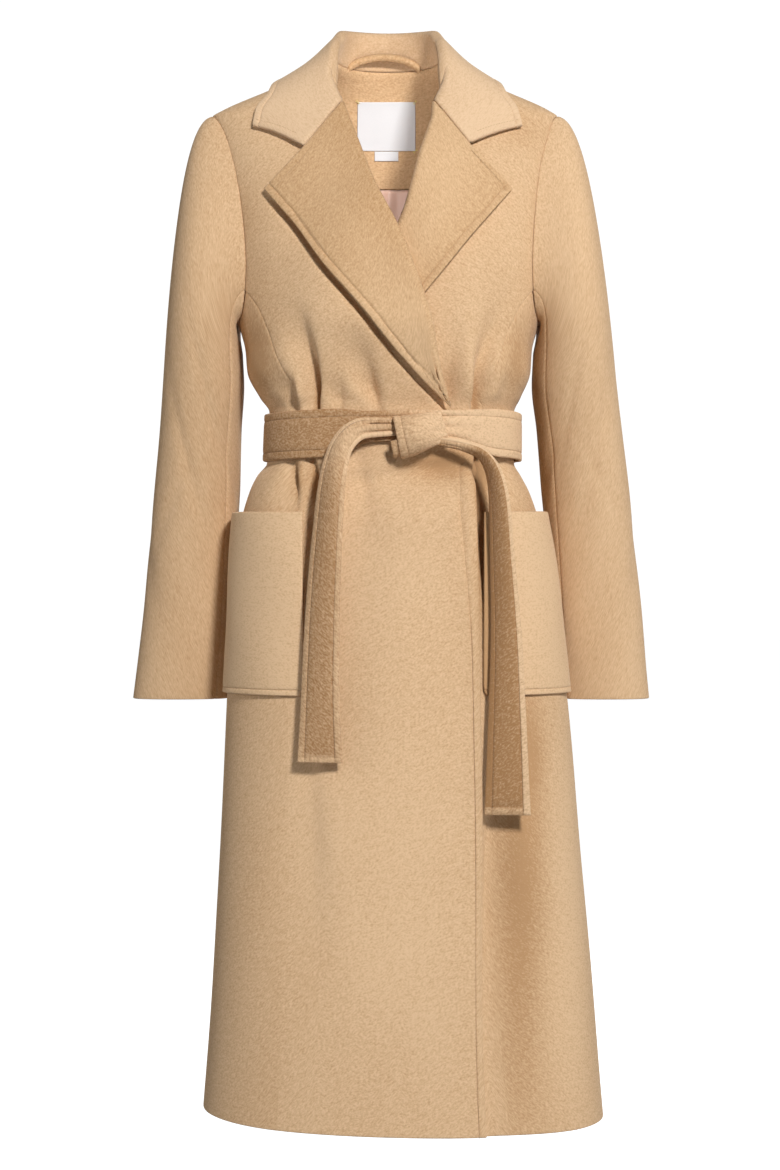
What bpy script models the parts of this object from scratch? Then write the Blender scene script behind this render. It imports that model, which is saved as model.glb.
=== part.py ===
"""A belted wool wrap coat, held in the rounded shape it has when it is worn, with nobody in it.

Metres, +Z up. The coat faces -Y and its left side is at +X. The origin is the back of the neck: the middle
of the body from side to side, the line of the shoulder seams from front to back, the height of the neck seam.

The body is one closed curve at every height. A place on it is an angle, from centre front at 0 to the
wearer's left side at 90 degrees and centre back at 180, and a height z. Every panel is a stretch of angles
between two seams, and what lies on a panel is made from the panel's own points, moved out.
"""

import bmesh
import bpy
import numpy as np

# ---- Cloth ----------------------------------------------------------------------------------------------

CLOTH = 0.0026  # coating wool, one layer
DOUBLE = 0.0044  # two layers sewn together and turned: collar, lapels, belt
FACING = 0.0020
LINING = 0.0010
LABEL = 0.0010
SEAM = 0.0004  # between two pieces that are sewn edge to edge
LAY = 0.0008  # between two layers that lie on each other

# ---- Heights --------------------------------------------------------------------------------------------

SHOULDER_TIP_Z = -0.061
YOKE_Z = -0.100  # the rows of the panels run level from here down
CORNER_Z = -0.255  # where the princess seam leaves the armhole
ARMHOLE_BOTTOM_Z = -0.285
SIDE_TOP_Z = -0.300
BELT_TOP_Z = -0.385
BELT_BOTTOM_Z = -0.436
HEM_Z = -1.140
LEVELS = (-0.100, -0.140, -0.180, -0.220, -0.255, -0.2775, -0.300, -0.325, -0.347, -0.367, -0.384, -0.411,
          -0.437, -0.451, -0.470, -0.495, -0.535, -0.590, -0.655, -0.735, -0.830, -0.930, -1.035, HEM_Z)
ZONE = (0.0, 0.08, 0.20, 0.36, 0.56, 0.78, 1.0)  # the rows between a shoulder and the first level one


def named(columns, rows):
    """A short table as one array for each named column, sorted on the first."""
    rows = sorted(rows)
    return {name: np.array([row[i] for row in rows]) for i, name in enumerate(columns.split())}


def read(table, name, at):
    """A column of a table at any value of its first column: a smooth curve that never overshoots its rows."""
    keys, values = list(table.values())[0], table[name]
    steps = np.diff(keys)
    rises = np.diff(values) / steps
    both = rises[1:] * rises[:-1]
    slopes = np.concatenate([rises[:1], np.zeros(len(both)), rises[-1:]])
    slopes[1:-1] = np.where(both > 0, 2 * both / np.where(both > 0, rises[1:] + rises[:-1], 1), 0)
    at = np.clip(at, keys[0], keys[-1])
    i = np.clip(np.searchsorted(keys, at) - 1, 0, len(steps) - 1)
    t = (at - keys[i]) / steps[i]
    return ((1 + 2 * t) * (1 - t) ** 2 * values[i] + t * t * (3 - 2 * t) * values[i + 1]
            + steps[i] * (t * (1 - t) ** 2 * slopes[i] - t * t * (1 - t) * slopes[i + 1]))


def ease(share):
    """0 below 0, 1 above 1, and a soft step between."""
    share = np.clip(share, 0, 1)
    return share * share * (3 - 2 * share)


# Half widths to each side, depths to the front and back, and how square the curve is, at each height.
BODY = named("z left right front back power", [
    (0.000, 0.060, 0.060, 0.036, 0.070, 2.2),
    (-0.015, 0.087, 0.086, 0.041, 0.077, 2.2),
    (-0.035, 0.1365, 0.133, 0.048, 0.085, 2.2),
    (-0.055, 0.1825, 0.177, 0.056, 0.091, 2.2),
    (-0.062, 0.193, 0.186, 0.059, 0.093, 2.2),
    (-0.080, 0.190, 0.186, 0.068, 0.098, 2.2),
    (-0.120, 0.184, 0.182, 0.088, 0.106, 2.25),
    (-0.180, 0.176, 0.177, 0.108, 0.111, 2.3),
    (-0.230, 0.169, 0.171, 0.119, 0.109, 2.3),
    (-0.285, 0.163, 0.164, 0.121, 0.103, 2.3),
    (-0.315, 0.1555, 0.156, 0.119, 0.099, 2.3),
    (-0.340, 0.153, 0.154, 0.115, 0.095, 2.3),
    (-0.367, 0.139, 0.143, 0.106, 0.089, 2.3),
    (-0.383, 0.128, 0.136, 0.101, 0.084, 2.3),
    (-0.438, 0.128, 0.136, 0.101, 0.084, 2.3),
    (-0.451, 0.139, 0.143, 0.105, 0.090, 2.3),
    (-0.470, 0.149, 0.153, 0.110, 0.097, 2.3),
    (-0.500, 0.158, 0.163, 0.114, 0.106, 2.3),
    (-0.590, 0.168, 0.182, 0.121, 0.121, 2.3),
    (-0.700, 0.176, 0.196, 0.127, 0.127, 2.3),
    (-0.860, 0.182, 0.210, 0.133, 0.135, 2.35),
    (-1.000, 0.1905, 0.222, 0.139, 0.143, 2.35),
    (HEM_Z, 0.201, 0.234, 0.143, 0.151, 2.35),
])

# The free edge of the right front, which laps over the left: the neckline, the roll line of the lapel, the
# edge below the belt. The left front is its mirror image.
FRONT_EDGE = named("z x", [
    (0.000, -0.060), (-0.027, -0.056), (-0.055, -0.047), (-0.100, -0.031), (-0.150, -0.0117),
    (-0.198, 0.0104), (-0.277, 0.0374), (-0.386, 0.0654), (-0.411, 0.080), (-0.436, 0.0905),
    (-0.700, 0.0935), (-0.823, 0.096), (HEM_Z, 0.102),
])

# The seams of the side panel, as shares of the half width at their height.
SIDE_SEAMS = named("z princess back", [
    (CORNER_Z, 0.923, 0.923), (-0.275, 0.845, 0.870), (-0.300, 0.800, 0.810), (-0.320, 0.775, 0.770),
    (-0.340, 0.730, 0.735), (-0.367, 0.695, 0.700), (-0.385, 0.730, 0.700), (-0.437, 0.730, 0.700),
    (-0.500, 0.620, 0.650), (-0.700, 0.575, 0.610), (HEM_Z, 0.560, 0.590),
])

# Folds that the tied belt gathers, and the soft troughs of the skirt: which face of the coat, where the fold
# leaves the belt and where it dies out, how deep it goes in and its half width.
FOLDS = named("x face z far_x far_z depth width", [
    (-0.0750, 1, BELT_TOP_Z, -0.0950, -0.262, 0.0100, 0.0100),
    (-0.0930, 1, BELT_TOP_Z, -0.1010, -0.335, 0.0060, 0.0080),
    (-0.0460, 1, BELT_TOP_Z, -0.0500, -0.320, 0.0040, 0.0110),
    (-0.0063, 1, BELT_TOP_Z, -0.0440, -0.285, 0.0060, 0.0140),
    (0.0957, 1, BELT_TOP_Z, 0.1290, -0.236, 0.0090, 0.0100),
    (0.0757, 1, BELT_TOP_Z, 0.0800, -0.262, 0.0055, 0.0120),
    (-0.0790, 1, BELT_BOTTOM_Z, -0.0760, -0.560, 0.0075, 0.0100),
    (-0.0990, 1, BELT_BOTTOM_Z, -0.1060, -0.535, 0.0060, 0.0090),
    (-0.0300, 1, BELT_BOTTOM_Z, -0.0200, -0.560, 0.0035, 0.0140),
    (0.0950, 1, BELT_BOTTOM_Z, 0.1060, -0.600, 0.0080, 0.0110),
    (0.1150, 1, BELT_BOTTOM_Z, 0.1300, -0.540, 0.0050, 0.0100),
    (-0.0855, 1, -0.800, -0.0870, -1.000, 0.0035, 0.0160),
    (0.1370, 1, -0.800, 0.1420, -1.300, 0.0045, 0.0200),
    (-0.0900, -1, BELT_TOP_Z, -0.1050, -0.280, 0.0060, 0.0120),
    (-0.0480, -1, BELT_TOP_Z, -0.0600, -0.255, 0.0075, 0.0130),
    (0.0030, -1, BELT_TOP_Z, 0.0080, -0.270, 0.0060, 0.0140),
    (0.0520, -1, BELT_TOP_Z, 0.0640, -0.250, 0.0075, 0.0130),
    (0.0950, -1, BELT_TOP_Z, 0.1080, -0.285, 0.0060, 0.0120),
    (-0.0850, -1, BELT_BOTTOM_Z, -0.1000, -0.560, 0.0065, 0.0120),
    (-0.0320, -1, BELT_BOTTOM_Z, -0.0400, -0.600, 0.0070, 0.0140),
    (0.0280, -1, BELT_BOTTOM_Z, 0.0380, -0.590, 0.0065, 0.0140),
    (0.0880, -1, BELT_BOTTOM_Z, 0.1030, -0.560, 0.0065, 0.0120),
    (-0.0700, -1, -0.780, -0.0850, -1.300, 0.0060, 0.0260),
    (0.0850, -1, -0.800, 0.1000, -1.300, 0.0060, 0.0280),
])
UNDER_BELT = 0.4  # the share of its depth that a fold keeps where the belt presses it
BELT_FADE = 0.016  # and how far under the belt it reaches

LAP_BLEND = 0.032  # the right front rises over the edge of the left one across this width
LAP_PAST = 0.010  # and is at its full height this far before it reaches that edge
LAP_GAP = 0.0016
HIDDEN_LAPEL = (-0.130, -0.170, -0.292, -0.340)  # where it rises over the left lapel, and comes down again


def fold_depth(x, face, z):
    """How far the folds draw the cloth in."""
    depth = 0 * x
    for i in range(len(FOLDS["x"])):
        start, end = FOLDS["z"][i], FOLDS["far_z"][i]
        run = (z - start) / (end - start)
        grown = UNDER_BELT + (1 - UNDER_BELT) * ease(run / 0.2)
        under = UNDER_BELT * np.exp(-((run * (end - start) / BELT_FADE) ** 2))
        along = np.where(run < 0, under, grown * ease(1.15 * (1 - run)))
        middle = FOLDS["x"][i] + np.clip(run, 0, 1) * (FOLDS["far_x"][i] - FOLDS["x"][i])
        across = np.exp(-(((x - middle) / FOLDS["width"][i]) ** 2))
        depth = depth + np.where(face == FOLDS["face"][i], FOLDS["depth"][i] * along * across, 0)
    return depth


def lap(x, z):
    """How far the right front is lifted by the left front under it, and by that front's lapel."""
    covered = ease((x + read(FRONT_EDGE, "x", z) + LAP_BLEND + LAP_PAST) / LAP_BLEND)
    start, full, ends, gone = HIDDEN_LAPEL
    lapel = ease((start - z) / (start - full)) * ease((z - gone) / (ends - gone))
    return covered * (ease((-0.090 - z) / 0.060) * (CLOTH + LAP_GAP) + lapel * (DOUBLE + 3 * LAY))


def body(angle, z, over=False, folds=True):
    """Points on the outer face of the coat's body, of the right front's own layer if over."""
    sine, cosine = np.sin(angle), np.cos(angle)
    half = np.where(sine < 0, read(BODY, "left", z), read(BODY, "right", z))
    depth = np.where(cosine > 0, read(BODY, "front", z), read(BODY, "back", z))
    power = read(BODY, "power", z)
    radius = ((abs(sine) / half) ** power + (abs(cosine) / depth) ** power) ** (-1 / power)
    x = radius * sine
    if over:
        radius = radius + np.where(cosine > 0, lap(x, z), 0)
    if folds:
        radius = radius - fold_depth(x, np.sign(cosine), z)
    return np.stack([radius * sine, -radius * cosine, z + 0 * radius], axis=-1)


def normals(surface, a, b, step_a=0.004, step_b=0.0015):
    """Unit normals of surface(a, b), on the side that a crossed with b gives."""
    along_a = surface(a + step_a, b) - surface(a - step_a, b)
    along_b = surface(a, b + step_b) - surface(a, b - step_b)
    normal = np.cross(along_a, along_b)
    return normal / np.linalg.norm(normal, axis=-1, keepdims=True)


def moved(angle, z, out, over=False, folds=True):
    """Body points moved out along the body's normals."""
    def surface(a, b):
        return body(a, b, over, folds)
    return surface(angle, z) + normals(surface, angle, z) * np.asarray(out)[..., None]


def front_angle(x, z):
    """The angle at which the front of the coat stands at this x."""
    half = np.where(x < 0, read(BODY, "left", z), read(BODY, "right", z))
    power = read(BODY, "power", z)
    depth = read(BODY, "front", z) * np.clip(1 - abs(x / half) ** power, 0, 1) ** (1 / power)
    return np.arctan2(x, depth)


def back_angle(x, z):
    """The angle at which the back of the coat stands at this x, from -180 to 180 degrees."""
    half = np.where(x < 0, read(BODY, "left", z), read(BODY, "right", z))
    power = read(BODY, "power", z)
    depth = read(BODY, "back", z) * np.clip(1 - abs(x / half) ** power, 0, 1) ** (1 / power)
    return np.arctan2(x, -depth)


# ---- Making the solids ----------------------------------------------------------------------------------

WOOL = (0.62, 0.40, 0.205)
WOOL_TURNED = (0.58, 0.365, 0.18)  # the lapels and belt, whose nap lies the other way
SATIN = (0.60, 0.27, 0.19)
WHITE = (0.80, 0.80, 0.80)


def start_scene():
    for obj in list(bpy.data.objects):
        bpy.data.objects.remove(obj, do_unlink=True)
    coat = bpy.data.collections.new("wool_wrap_coat")
    bpy.context.scene.collection.children.link(coat)
    return coat


def finish(name, mesh_data, colour, roughness=0.9):
    """The object for a finished bmesh, smooth across its rounds and sharp at its cut edges."""
    bmesh.ops.recalc_face_normals(mesh_data, faces=mesh_data.faces)
    mesh = bpy.data.meshes.new(name)
    mesh_data.to_mesh(mesh)
    mesh_data.free()
    mesh.shade_smooth()
    mesh.set_sharp_from_angle(angle=np.radians(50))
    material = bpy.data.materials.new(name)
    material.use_nodes = True
    shader = material.node_tree.nodes["Principled BSDF"]
    shader.inputs["Base Color"].default_value = (*colour, 1)
    shader.inputs["Roughness"].default_value = roughness
    shader.inputs["Metallic"].default_value = 0
    mesh.materials.append(material)
    obj = bpy.data.objects.new(name, mesh)
    COAT.objects.link(obj)
    return obj


def wall(name, outer, inner, colour=WOOL, roughness=0.9, ring=False):
    """A cloth wall between two grids of points, closed along its edges. A ring's columns meet."""
    rows, columns = outer.shape[:2]
    made = bmesh.new()
    faces = [[[made.verts.new(point) for point in row] for row in grid] for grid in (outer, inner)]
    last = columns if ring else columns - 1
    for side in faces:
        for i in range(rows - 1):
            for j in range(last):
                k = (j + 1) % columns
                made.faces.new((side[i][j], side[i][k], side[i + 1][k], side[i + 1][j]))
    front, back = faces
    for i in (0, rows - 1):
        for j in range(last):
            k = (j + 1) % columns
            made.faces.new((front[i][j], back[i][j], back[i][k], front[i][k]))
    for j in () if ring else (0, columns - 1):
        for i in range(rows - 1):
            made.faces.new((front[i][j], front[i + 1][j], back[i + 1][j], back[i][j]))
    return finish(name, made, colour, roughness)


def leaf(name, angle, z, near, far, colour=WOOL, roughness=0.9, over=False, folds=True, ring=False):
    """A wall whose two faces lie at these distances outside the coat's outer face, or inside if negative."""
    outer = moved(angle, z, far + 0 * z, over, folds)
    inner = moved(angle, z, near + 0 * z, over, folds)
    return wall(name, outer, inner, colour, roughness, ring)


def between(a, b, share):
    return a + (b - a) * share


def panel_rows(top_angle, top_z, zone_z, edge_a, edge_b, zone=ZONE):
    """Angles and heights of a panel's grid, top to bottom, between its two edges given as angles by height.

    Its top edge is a line of its own. The rows ease from that line to the level one at zone_z, and lie level
    at LEVELS below that.
    """
    share = np.linspace(0, 1, len(top_z))
    seam_a = 0.5 * SEAM * np.sign(edge_b(zone_z) - edge_a(zone_z))
    rows = []
    base = between(edge_a(zone_z), edge_b(zone_z), share)
    for t in zone:
        z_a, z_b = between(top_z[0], zone_z, t), between(top_z[-1], zone_z, t)
        angle = between(top_angle, base, t)
        angle = angle + (1 - share) * (edge_a(z_a) - angle[0]) + share * (edge_b(z_b) - angle[-1])
        rows.append((angle, between(top_z, zone_z, t)))
    for z in LEVELS:
        if z < zone_z:
            rows.append((between(edge_a(z), edge_b(z), share), z + 0 * share))
    angle, z = (np.array(values) for values in zip(*rows))
    inset = seam_a / np.linalg.norm(body(angle, z)[..., :2], axis=-1)
    angle[:, 0] += inset[:, 0]
    angle[:, -1] -= inset[:, -1]
    return angle, z


# ---- Front, side and back panels ------------------------------------------------------------------------

FRONT_COLUMNS = 17
SIDE_COLUMNS = 6
SHOULDER_COLUMNS = 6
NECK_COLUMNS = 9
ARMHOLE_BITE = 0.115  # how far the armhole cuts into the front, as a share of the half width
ARMHOLE_FULL = 0.45  # how square its curve is


def half_width(side, z):
    return read(BODY, "right" if side > 0 else "left", z)


def armhole_share(z):
    """Where the armhole's edge lies at this height, as a share of the half width."""
    run = np.clip((SHOULDER_TIP_Z - z) / (SHOULDER_TIP_Z - ARMHOLE_BOTTOM_Z), 0, 1)
    return 1 - ARMHOLE_BITE * np.sin(np.pi * run) ** ARMHOLE_FULL


def front_seam(side):
    """The outer edge of a front by height: the armhole, then the princess seam."""
    def angle(z):
        share = np.where(z > CORNER_Z, armhole_share(z), read(SIDE_SEAMS, "princess", z))
        return front_angle(side * share * half_width(side, z), z)
    return angle


def back_seam(side):
    """The outer edge of the back by height: the armhole, then the seam to the side panel."""
    def angle(z):
        share = np.where(z > CORNER_Z, armhole_share(z), read(SIDE_SEAMS, "back", z))
        return back_angle(side * share * half_width(side, z), z)
    return angle


def free_edge(side):
    """The free edge of a front by height. Side is the side of the coat that the front hangs from."""
    def angle(z):
        x = -side * read(FRONT_EDGE, "x", z)
        return front_angle(np.where(z >= -1e-9, side * half_width(side, z), x), z)
    return angle


def make_front(name, side):
    share = np.linspace(0, 1, FRONT_COLUMNS)
    top_z = SHOULDER_TIP_Z * share
    quarter = side * np.pi / 2
    top_angle = quarter - side * 0.5 * SEAM / half_width(side, top_z)
    angle, z = panel_rows(top_angle, top_z, YOKE_Z, free_edge(side), front_seam(side))
    angle[0] = top_angle
    leaf(name, angle, z, -CLOTH, 0, over=side < 0)


def side_top_heights():
    """The heights along the top of a side panel, which curves under the arm from corner to corner."""
    share = np.linspace(-1, 1, SIDE_COLUMNS + 1)
    return between(ARMHOLE_BOTTOM_Z, CORNER_Z, share ** 2)


def make_side(name, side):
    share = np.linspace(0, 1, SIDE_COLUMNS + 1)
    top_z = side_top_heights()
    x = side * armhole_share(top_z) * half_width(side, top_z)
    top_angle = np.where(share < 0.5, front_angle(x, top_z), back_angle(x, top_z))
    angle, z = panel_rows(top_angle, top_z, SIDE_TOP_Z, front_seam(side), back_seam(side), (0.0, 0.5, 1.0))
    leaf(name, angle, z, -CLOTH, 0, over=side < 0)


def make_back():
    ridge = np.linspace(1, 0, SHOULDER_COLUMNS, endpoint=False)
    neck = np.linspace(0.5 * np.pi, 1.5 * np.pi, NECK_COLUMNS + 2)
    top_z = np.concatenate([SHOULDER_TIP_Z * ridge, 0 * neck, SHOULDER_TIP_Z * ridge[::-1]])
    seam = 0.5 * SEAM / read(BODY, "left", top_z)
    top_angle = np.concatenate([0 * ridge + 0.5 * np.pi, neck, 0 * ridge + 1.5 * np.pi])
    top_angle = np.clip(top_angle, 0.5 * np.pi + seam, 1.5 * np.pi - seam)

    def left_seam(z):
        return np.mod(back_seam(-1)(z), 2 * np.pi)
    angle, z = panel_rows(top_angle, top_z, YOKE_Z, back_seam(1), left_seam)
    angle[0] = top_angle
    leaf("back", angle, z, -CLOTH, 0)


# ---- Sleeves --------------------------------------------------------------------------------------------

# Each sleeve's ring at each height: how far out its outer and inner edges are on each side of the coat, and
# its middle and half depth from front to back.
SLEEVE = named("z outer_left inner_left outer_right inner_right middle_y half_depth", [
    (-0.320, 0.2440, 0.1590, 0.2465, 0.1585, 0.010, 0.066),
    (-0.350, 0.2465, 0.1580, 0.2500, 0.1575, 0.016, 0.064),
    (-0.401, 0.2510, 0.1615, 0.2570, 0.1635, 0.026, 0.060),
    (-0.466, 0.2580, 0.1635, 0.2660, 0.1690, 0.036, 0.056),
    (-0.532, 0.2650, 0.1660, 0.2735, 0.1740, 0.046, 0.053),
    (-0.597, 0.2715, 0.1690, 0.2815, 0.1780, 0.054, 0.050),
    (-0.663, 0.2800, 0.1740, 0.2875, 0.1820, 0.061, 0.047),
    (-0.696, 0.2845, 0.1770, 0.2910, 0.1840, 0.064, 0.045),
])
SLEEVE_TOP_Z, CUFF_Z = -0.320, -0.696
SLEEVE_SQUARE = 2.15
CAP_ROWS = (0.0, 0.07, 0.18, 0.32, 0.48, 0.65, 0.82, 1.0)  # shares of the way from armhole to full sleeve
ARM_ROWS = (1.14, 1.30, 1.46, 1.62, 1.80, 2.0)  # and on from there to the cuff


def armhole_turn(z):
    """The turn round the armhole at which its front edge comes down to this height."""
    run = (SHOULDER_TIP_Z - np.asarray(z)) / (SHOULDER_TIP_Z - ARMHOLE_BOTTOM_Z)
    return np.arccos(1 - 2 * run)


def armhole(side, turn):
    """The armhole's edge: turn runs from the shoulder tip down the front, under the arm and up the back."""
    z = between(SHOULDER_TIP_Z, ARMHOLE_BOTTOM_Z, (1 - np.cos(turn)) / 2)
    x = side * armhole_share(z) * half_width(side, z)
    angle = np.where(np.sin(turn) >= 0, front_angle(x, z), back_angle(x, z))
    return moved(angle, z, 0 * z, folds=False), moved(angle, z, 0 * z + 0.001, folds=False)


def sleeve_ring(side, turn, z):
    name = "right" if side > 0 else "left"
    outer, inner = read(SLEEVE, "outer_" + name, z), read(SLEEVE, "inner_" + name, z)
    cosine, sine = np.cos(turn), np.sin(turn)
    square = (abs(cosine) ** SLEEVE_SQUARE + abs(sine) ** SLEEVE_SQUARE) ** (-1 / SLEEVE_SQUARE)
    x = side * ((outer + inner) / 2 + (outer - inner) / 2 * square * cosine)
    y = read(SLEEVE, "middle_y", z) - read(SLEEVE, "half_depth", z) * square * sine
    return np.stack([x, y, z + 0 * x], axis=-1)


def sleeve_surface(side):
    """Points on a sleeve: down is 0 at the armhole, 1 where the sleeve is whole and 2 at the cuff."""
    def surface(turn, down):
        turn, down = np.broadcast_arrays(turn, down)
        edge, off = armhole(side, turn)
        out = (off - edge) / 0.001
        away = np.stack([side * np.ones(turn.shape), 0 * turn, -0.25 - 0.2 * (1 - np.cos(turn))], axis=-1)
        away = away / np.linalg.norm(away, axis=-1, keepdims=True)
        start = edge + SEAM * (out + away) / np.linalg.norm(out + away, axis=-1, keepdims=True)
        end = sleeve_ring(side, turn, SLEEVE_TOP_Z + 0 * turn)
        reach = np.linalg.norm(end - start, axis=-1, keepdims=True)
        high = (1 + np.cos(turn))[..., None] / 2
        pull = (0.10 + 0.18 * (1 - high)) * reach
        first = start + pull * away + np.array([0, 0, 1]) * 0.006 * high
        slope = sleeve_ring(side, turn, SLEEVE_TOP_Z - 0.03 + 0 * turn) - end
        last = end - slope / 0.03 * (0.42 + 0.18 * high) * reach
        t = np.clip(down, 0, 1)[..., None]
        cap = ((1 - t) ** 3 * start + 3 * t * (1 - t) ** 2 * first + 3 * t * t * (1 - t) * last + t ** 3 * end)
        z = between(SLEEVE_TOP_Z, CUFF_Z, np.clip(down - 1, 0, 1.2))
        arm = sleeve_ring(side, turn, z)
        return np.where(down[..., None] <= 1, cap, arm)
    return surface


def sleeve_piece(name, side, turns):
    surface = sleeve_surface(side)
    inset = 0.5 * SEAM / 0.05
    turns = np.array(turns)
    turns[0] += inset
    turns[-1] -= inset
    turn, down = np.meshgrid(turns, np.array(CAP_ROWS + ARM_ROWS))
    outer = surface(turn, down)
    # The steps stay on the sleeve: past the armhole or the cuff there is no surface to measure.
    safe = np.clip(down, 0.011, 1.989)
    outward = side * normals(surface, turn, safe, 0.02, 0.01)
    wall(name, outer, outer - CLOTH * outward)


def make_sleeves():
    """Each sleeve's rows of points start where the panels' own points are round the armhole."""
    heights = [between(SHOULDER_TIP_Z, YOKE_Z, t) for t in ZONE] + [z for z in LEVELS if YOKE_Z > z >= CORNER_Z]
    front = armhole_turn(heights)
    under = armhole_turn(side_top_heights())
    under[SIDE_COLUMNS // 2:] = 2 * np.pi - under[SIDE_COLUMNS // 2:]
    for side, whose in ((-1, "right"), (1, "left")):
        sleeve_piece("top_sleeve_" + whose, side, np.concatenate([-front[:0:-1], front]))
        sleeve_piece("under_sleeve_" + whose, side, under)


# ---- Lapels and collar ----------------------------------------------------------------------------------

# The outer edge of the right lapel, from its point down to the belt. The left lapel mirrors it.
LAPEL_EDGE = named("z x", [
    (-0.1515, -0.1300), (-0.2027, -0.0878), (-0.2715, -0.0334), (-0.3408, 0.0218), (-0.3863, 0.0657),
])
GORGE_Z, LAPEL_POINT_Z, LAPEL_END_Z = -0.0560, -0.1515, -0.3815
NOTCH_X, NOTCH_Z = 0.085, -0.105
LAPEL_ROWS, LAPEL_COLUMNS = 13, 8
LAPEL_LAY = 0.0018
LAPEL_ROLL = 0.0045  # how far the fold of the lapel stands off the chest, above where it lies flat
LEFT_LAPEL_END_Z = -0.288  # the left lapel ends under the right front


def make_lapel(name, side):
    """The turned-back top of a front with its facing: side is the side of the coat that it lies on."""
    down = np.linspace(0, 1, LAPEL_ROWS)[:, None]
    share = np.linspace(0, 1, LAPEL_COLUMNS + 1)[None, :]
    end_z = LAPEL_END_Z if side < 0 else LEFT_LAPEL_END_Z
    roll_z = between(GORGE_Z, end_z, down)
    edge_z = between(LAPEL_POINT_Z, end_z, down ** 0.9)
    roll_x = -read(FRONT_EDGE, "x", roll_z)
    edge_x = -read(LAPEL_EDGE, "x", edge_z)
    bend = np.minimum(share, 1 - share) * 2 * (1 - down) ** 3
    straight_x, straight_z = (roll_x[0, 0] + edge_x[0, 0]) / 2, (GORGE_Z + LAPEL_POINT_Z) / 2
    x = side * (between(roll_x, edge_x, share) + bend * (NOTCH_X - straight_x))
    z = between(roll_z, edge_z, share) + bend * (NOTCH_Z - straight_z) - 0.6 * SEAM * (down == 0)
    flat_z = end_z if side < 0 else HIDDEN_LAPEL[1]
    lift = LAPEL_LAY + LAPEL_ROLL * (1 - share) ** 2 * ease((z - flat_z) / 0.050)
    leaf(name, front_angle(x, z), z, lift, lift + DOUBLE, WOOL_TURNED, over=side < 0, folds=False)


# The collar at stations from centre back at 0 to its front ends at 1: the angle and height of the neck seam,
# how high its stand is and how many degrees that leans out, and the angle and height of the outer edge where
# it lies on the body.
COLLAR = named("station neck neck_z stand lean edge edge_z", [
    (0.00, 180, 0.000, 0.0455, 0, 180, -0.038),
    (0.25, 152, 0.000, 0.0435, -8, 153, -0.034),
    (0.50, 118, 0.000, 0.0380, -16, 117, -0.029),
    (0.70, 90, -0.0005, 0.0240, -22, 92, -0.025),
    (0.86, 60, -0.022, 0.0150, -6, 75, -0.046),
    (1.00, 41, -0.0545, 0.0100, 60, 71.5, -0.081),
])
COLLAR_STATIONS = 25
FOLD_RADIUS = 0.0042
COLLAR_LAY = 0.0018
NECK_GAP = 0.0016  # between the foot of the stand and the neck seam
COLLAR_ROWS = (0.0, 0.5, 1.0, 1.25, 1.5, 1.75, 2.0, 2.2, 2.45, 2.7, 3.0)
# The notch lies below and inside a straight line from the fold to the collar's point, this far along it.
NOTCH_DIP, NOTCH_SWING = 0.038, np.radians(8)
NOTCH_AT = 0.46


def neck_angle(station):
    """The neck seam follows the back's neckline to the shoulder, and from there the fronts' own free edges."""
    at, side = abs(station), np.where(station < 0, -1.0, 1.0)
    z = read(COLLAR, "neck_z", at)
    front = front_angle(-read(FRONT_EDGE, "x", z), z)
    return side * np.where(at > 0.7, front, np.radians(read(COLLAR, "neck", at)))


def collar_path(station, along):
    """The middle of the collar's cloth: along is 0 to 1 up the stand, 1 to 2 over the fold, 2 to 3 down."""
    station, along = np.broadcast_arrays(station, along)
    side, at = np.where(station < 0, -1.0, 1.0), abs(station)

    def neck_edge(s):
        return body(neck_angle(s), read(COLLAR, "neck_z", abs(s)), folds=False)
    neck = neck_edge(station)
    turn = neck_angle(station)
    flat = np.stack([np.sin(turn), -np.cos(turn), 0 * turn], axis=-1)
    lean = np.radians(read(COLLAR, "lean", at))[..., None]
    rise = np.cos(lean) * np.array([0, 0, 1]) + np.sin(lean) * flat
    fold = neck + read(COLLAR, "stand", at)[..., None] * rise
    out = np.cross(rise, neck_edge(station + 0.01) - neck_edge(station - 0.01))
    out = out / np.linalg.norm(out, axis=-1, keepdims=True)
    start = neck + NECK_GAP * rise - DOUBLE / 2 * out
    low = fold - FOLD_RADIUS * rise
    bend = (np.pi * np.clip(along - 1, 0, 1))[..., None]
    over = low + FOLD_RADIUS * (np.sin(bend) * rise + (1 - np.cos(bend)) * out)
    stand = between(start, low, np.clip(along, 0, 1)[..., None])
    down = np.clip(along - 2, 0, 1)
    notch = np.minimum(down / NOTCH_AT, (1 - down) / (1 - NOTCH_AT)) * ease((at - 0.80) / 0.20)
    z = between(read(COLLAR, "neck_z", at), read(COLLAR, "edge_z", at), down) - notch * NOTCH_DIP
    angle = between(turn, np.radians(read(COLLAR, "edge", at)) * side, down) - notch * NOTCH_SWING * side
    rest = moved(angle, z, (COLLAR_LAY + DOUBLE / 2) * down, over=True, folds=False)
    fall = rest + (1 - down)[..., None] * (low + 2 * FOLD_RADIUS * out - neck)
    angle, z = np.arctan2(fall[..., 0], -fall[..., 1]), fall[..., 2]
    under = moved(angle, z, 0 * z, over=True, folds=False)
    outward = (moved(angle, z, 0.001 + 0 * z, over=True, folds=False) - under) / 0.001
    short = COLLAR_LAY + DOUBLE / 2 - np.sum((fall - under) * outward, axis=-1)
    fall = fall + (np.maximum(short, 0) * ease(-z / 0.010))[..., None] * outward
    return np.where(along[..., None] <= 1, stand, np.where(along[..., None] < 2, over, fall))


def make_collar():
    station, along = np.meshgrid(np.linspace(-1, 1, COLLAR_STATIONS), np.array(COLLAR_ROWS))
    middle = collar_path(station, along)
    safe_station, safe_along = np.clip(station, -0.99, 0.99), np.clip(along, 0.021, 2.979)
    off = DOUBLE / 2 * normals(collar_path, safe_station, safe_along, 0.01, 0.02)
    wall("collar", middle + off, middle - off)


# ---- Inside the neck ------------------------------------------------------------------------------------

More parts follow.
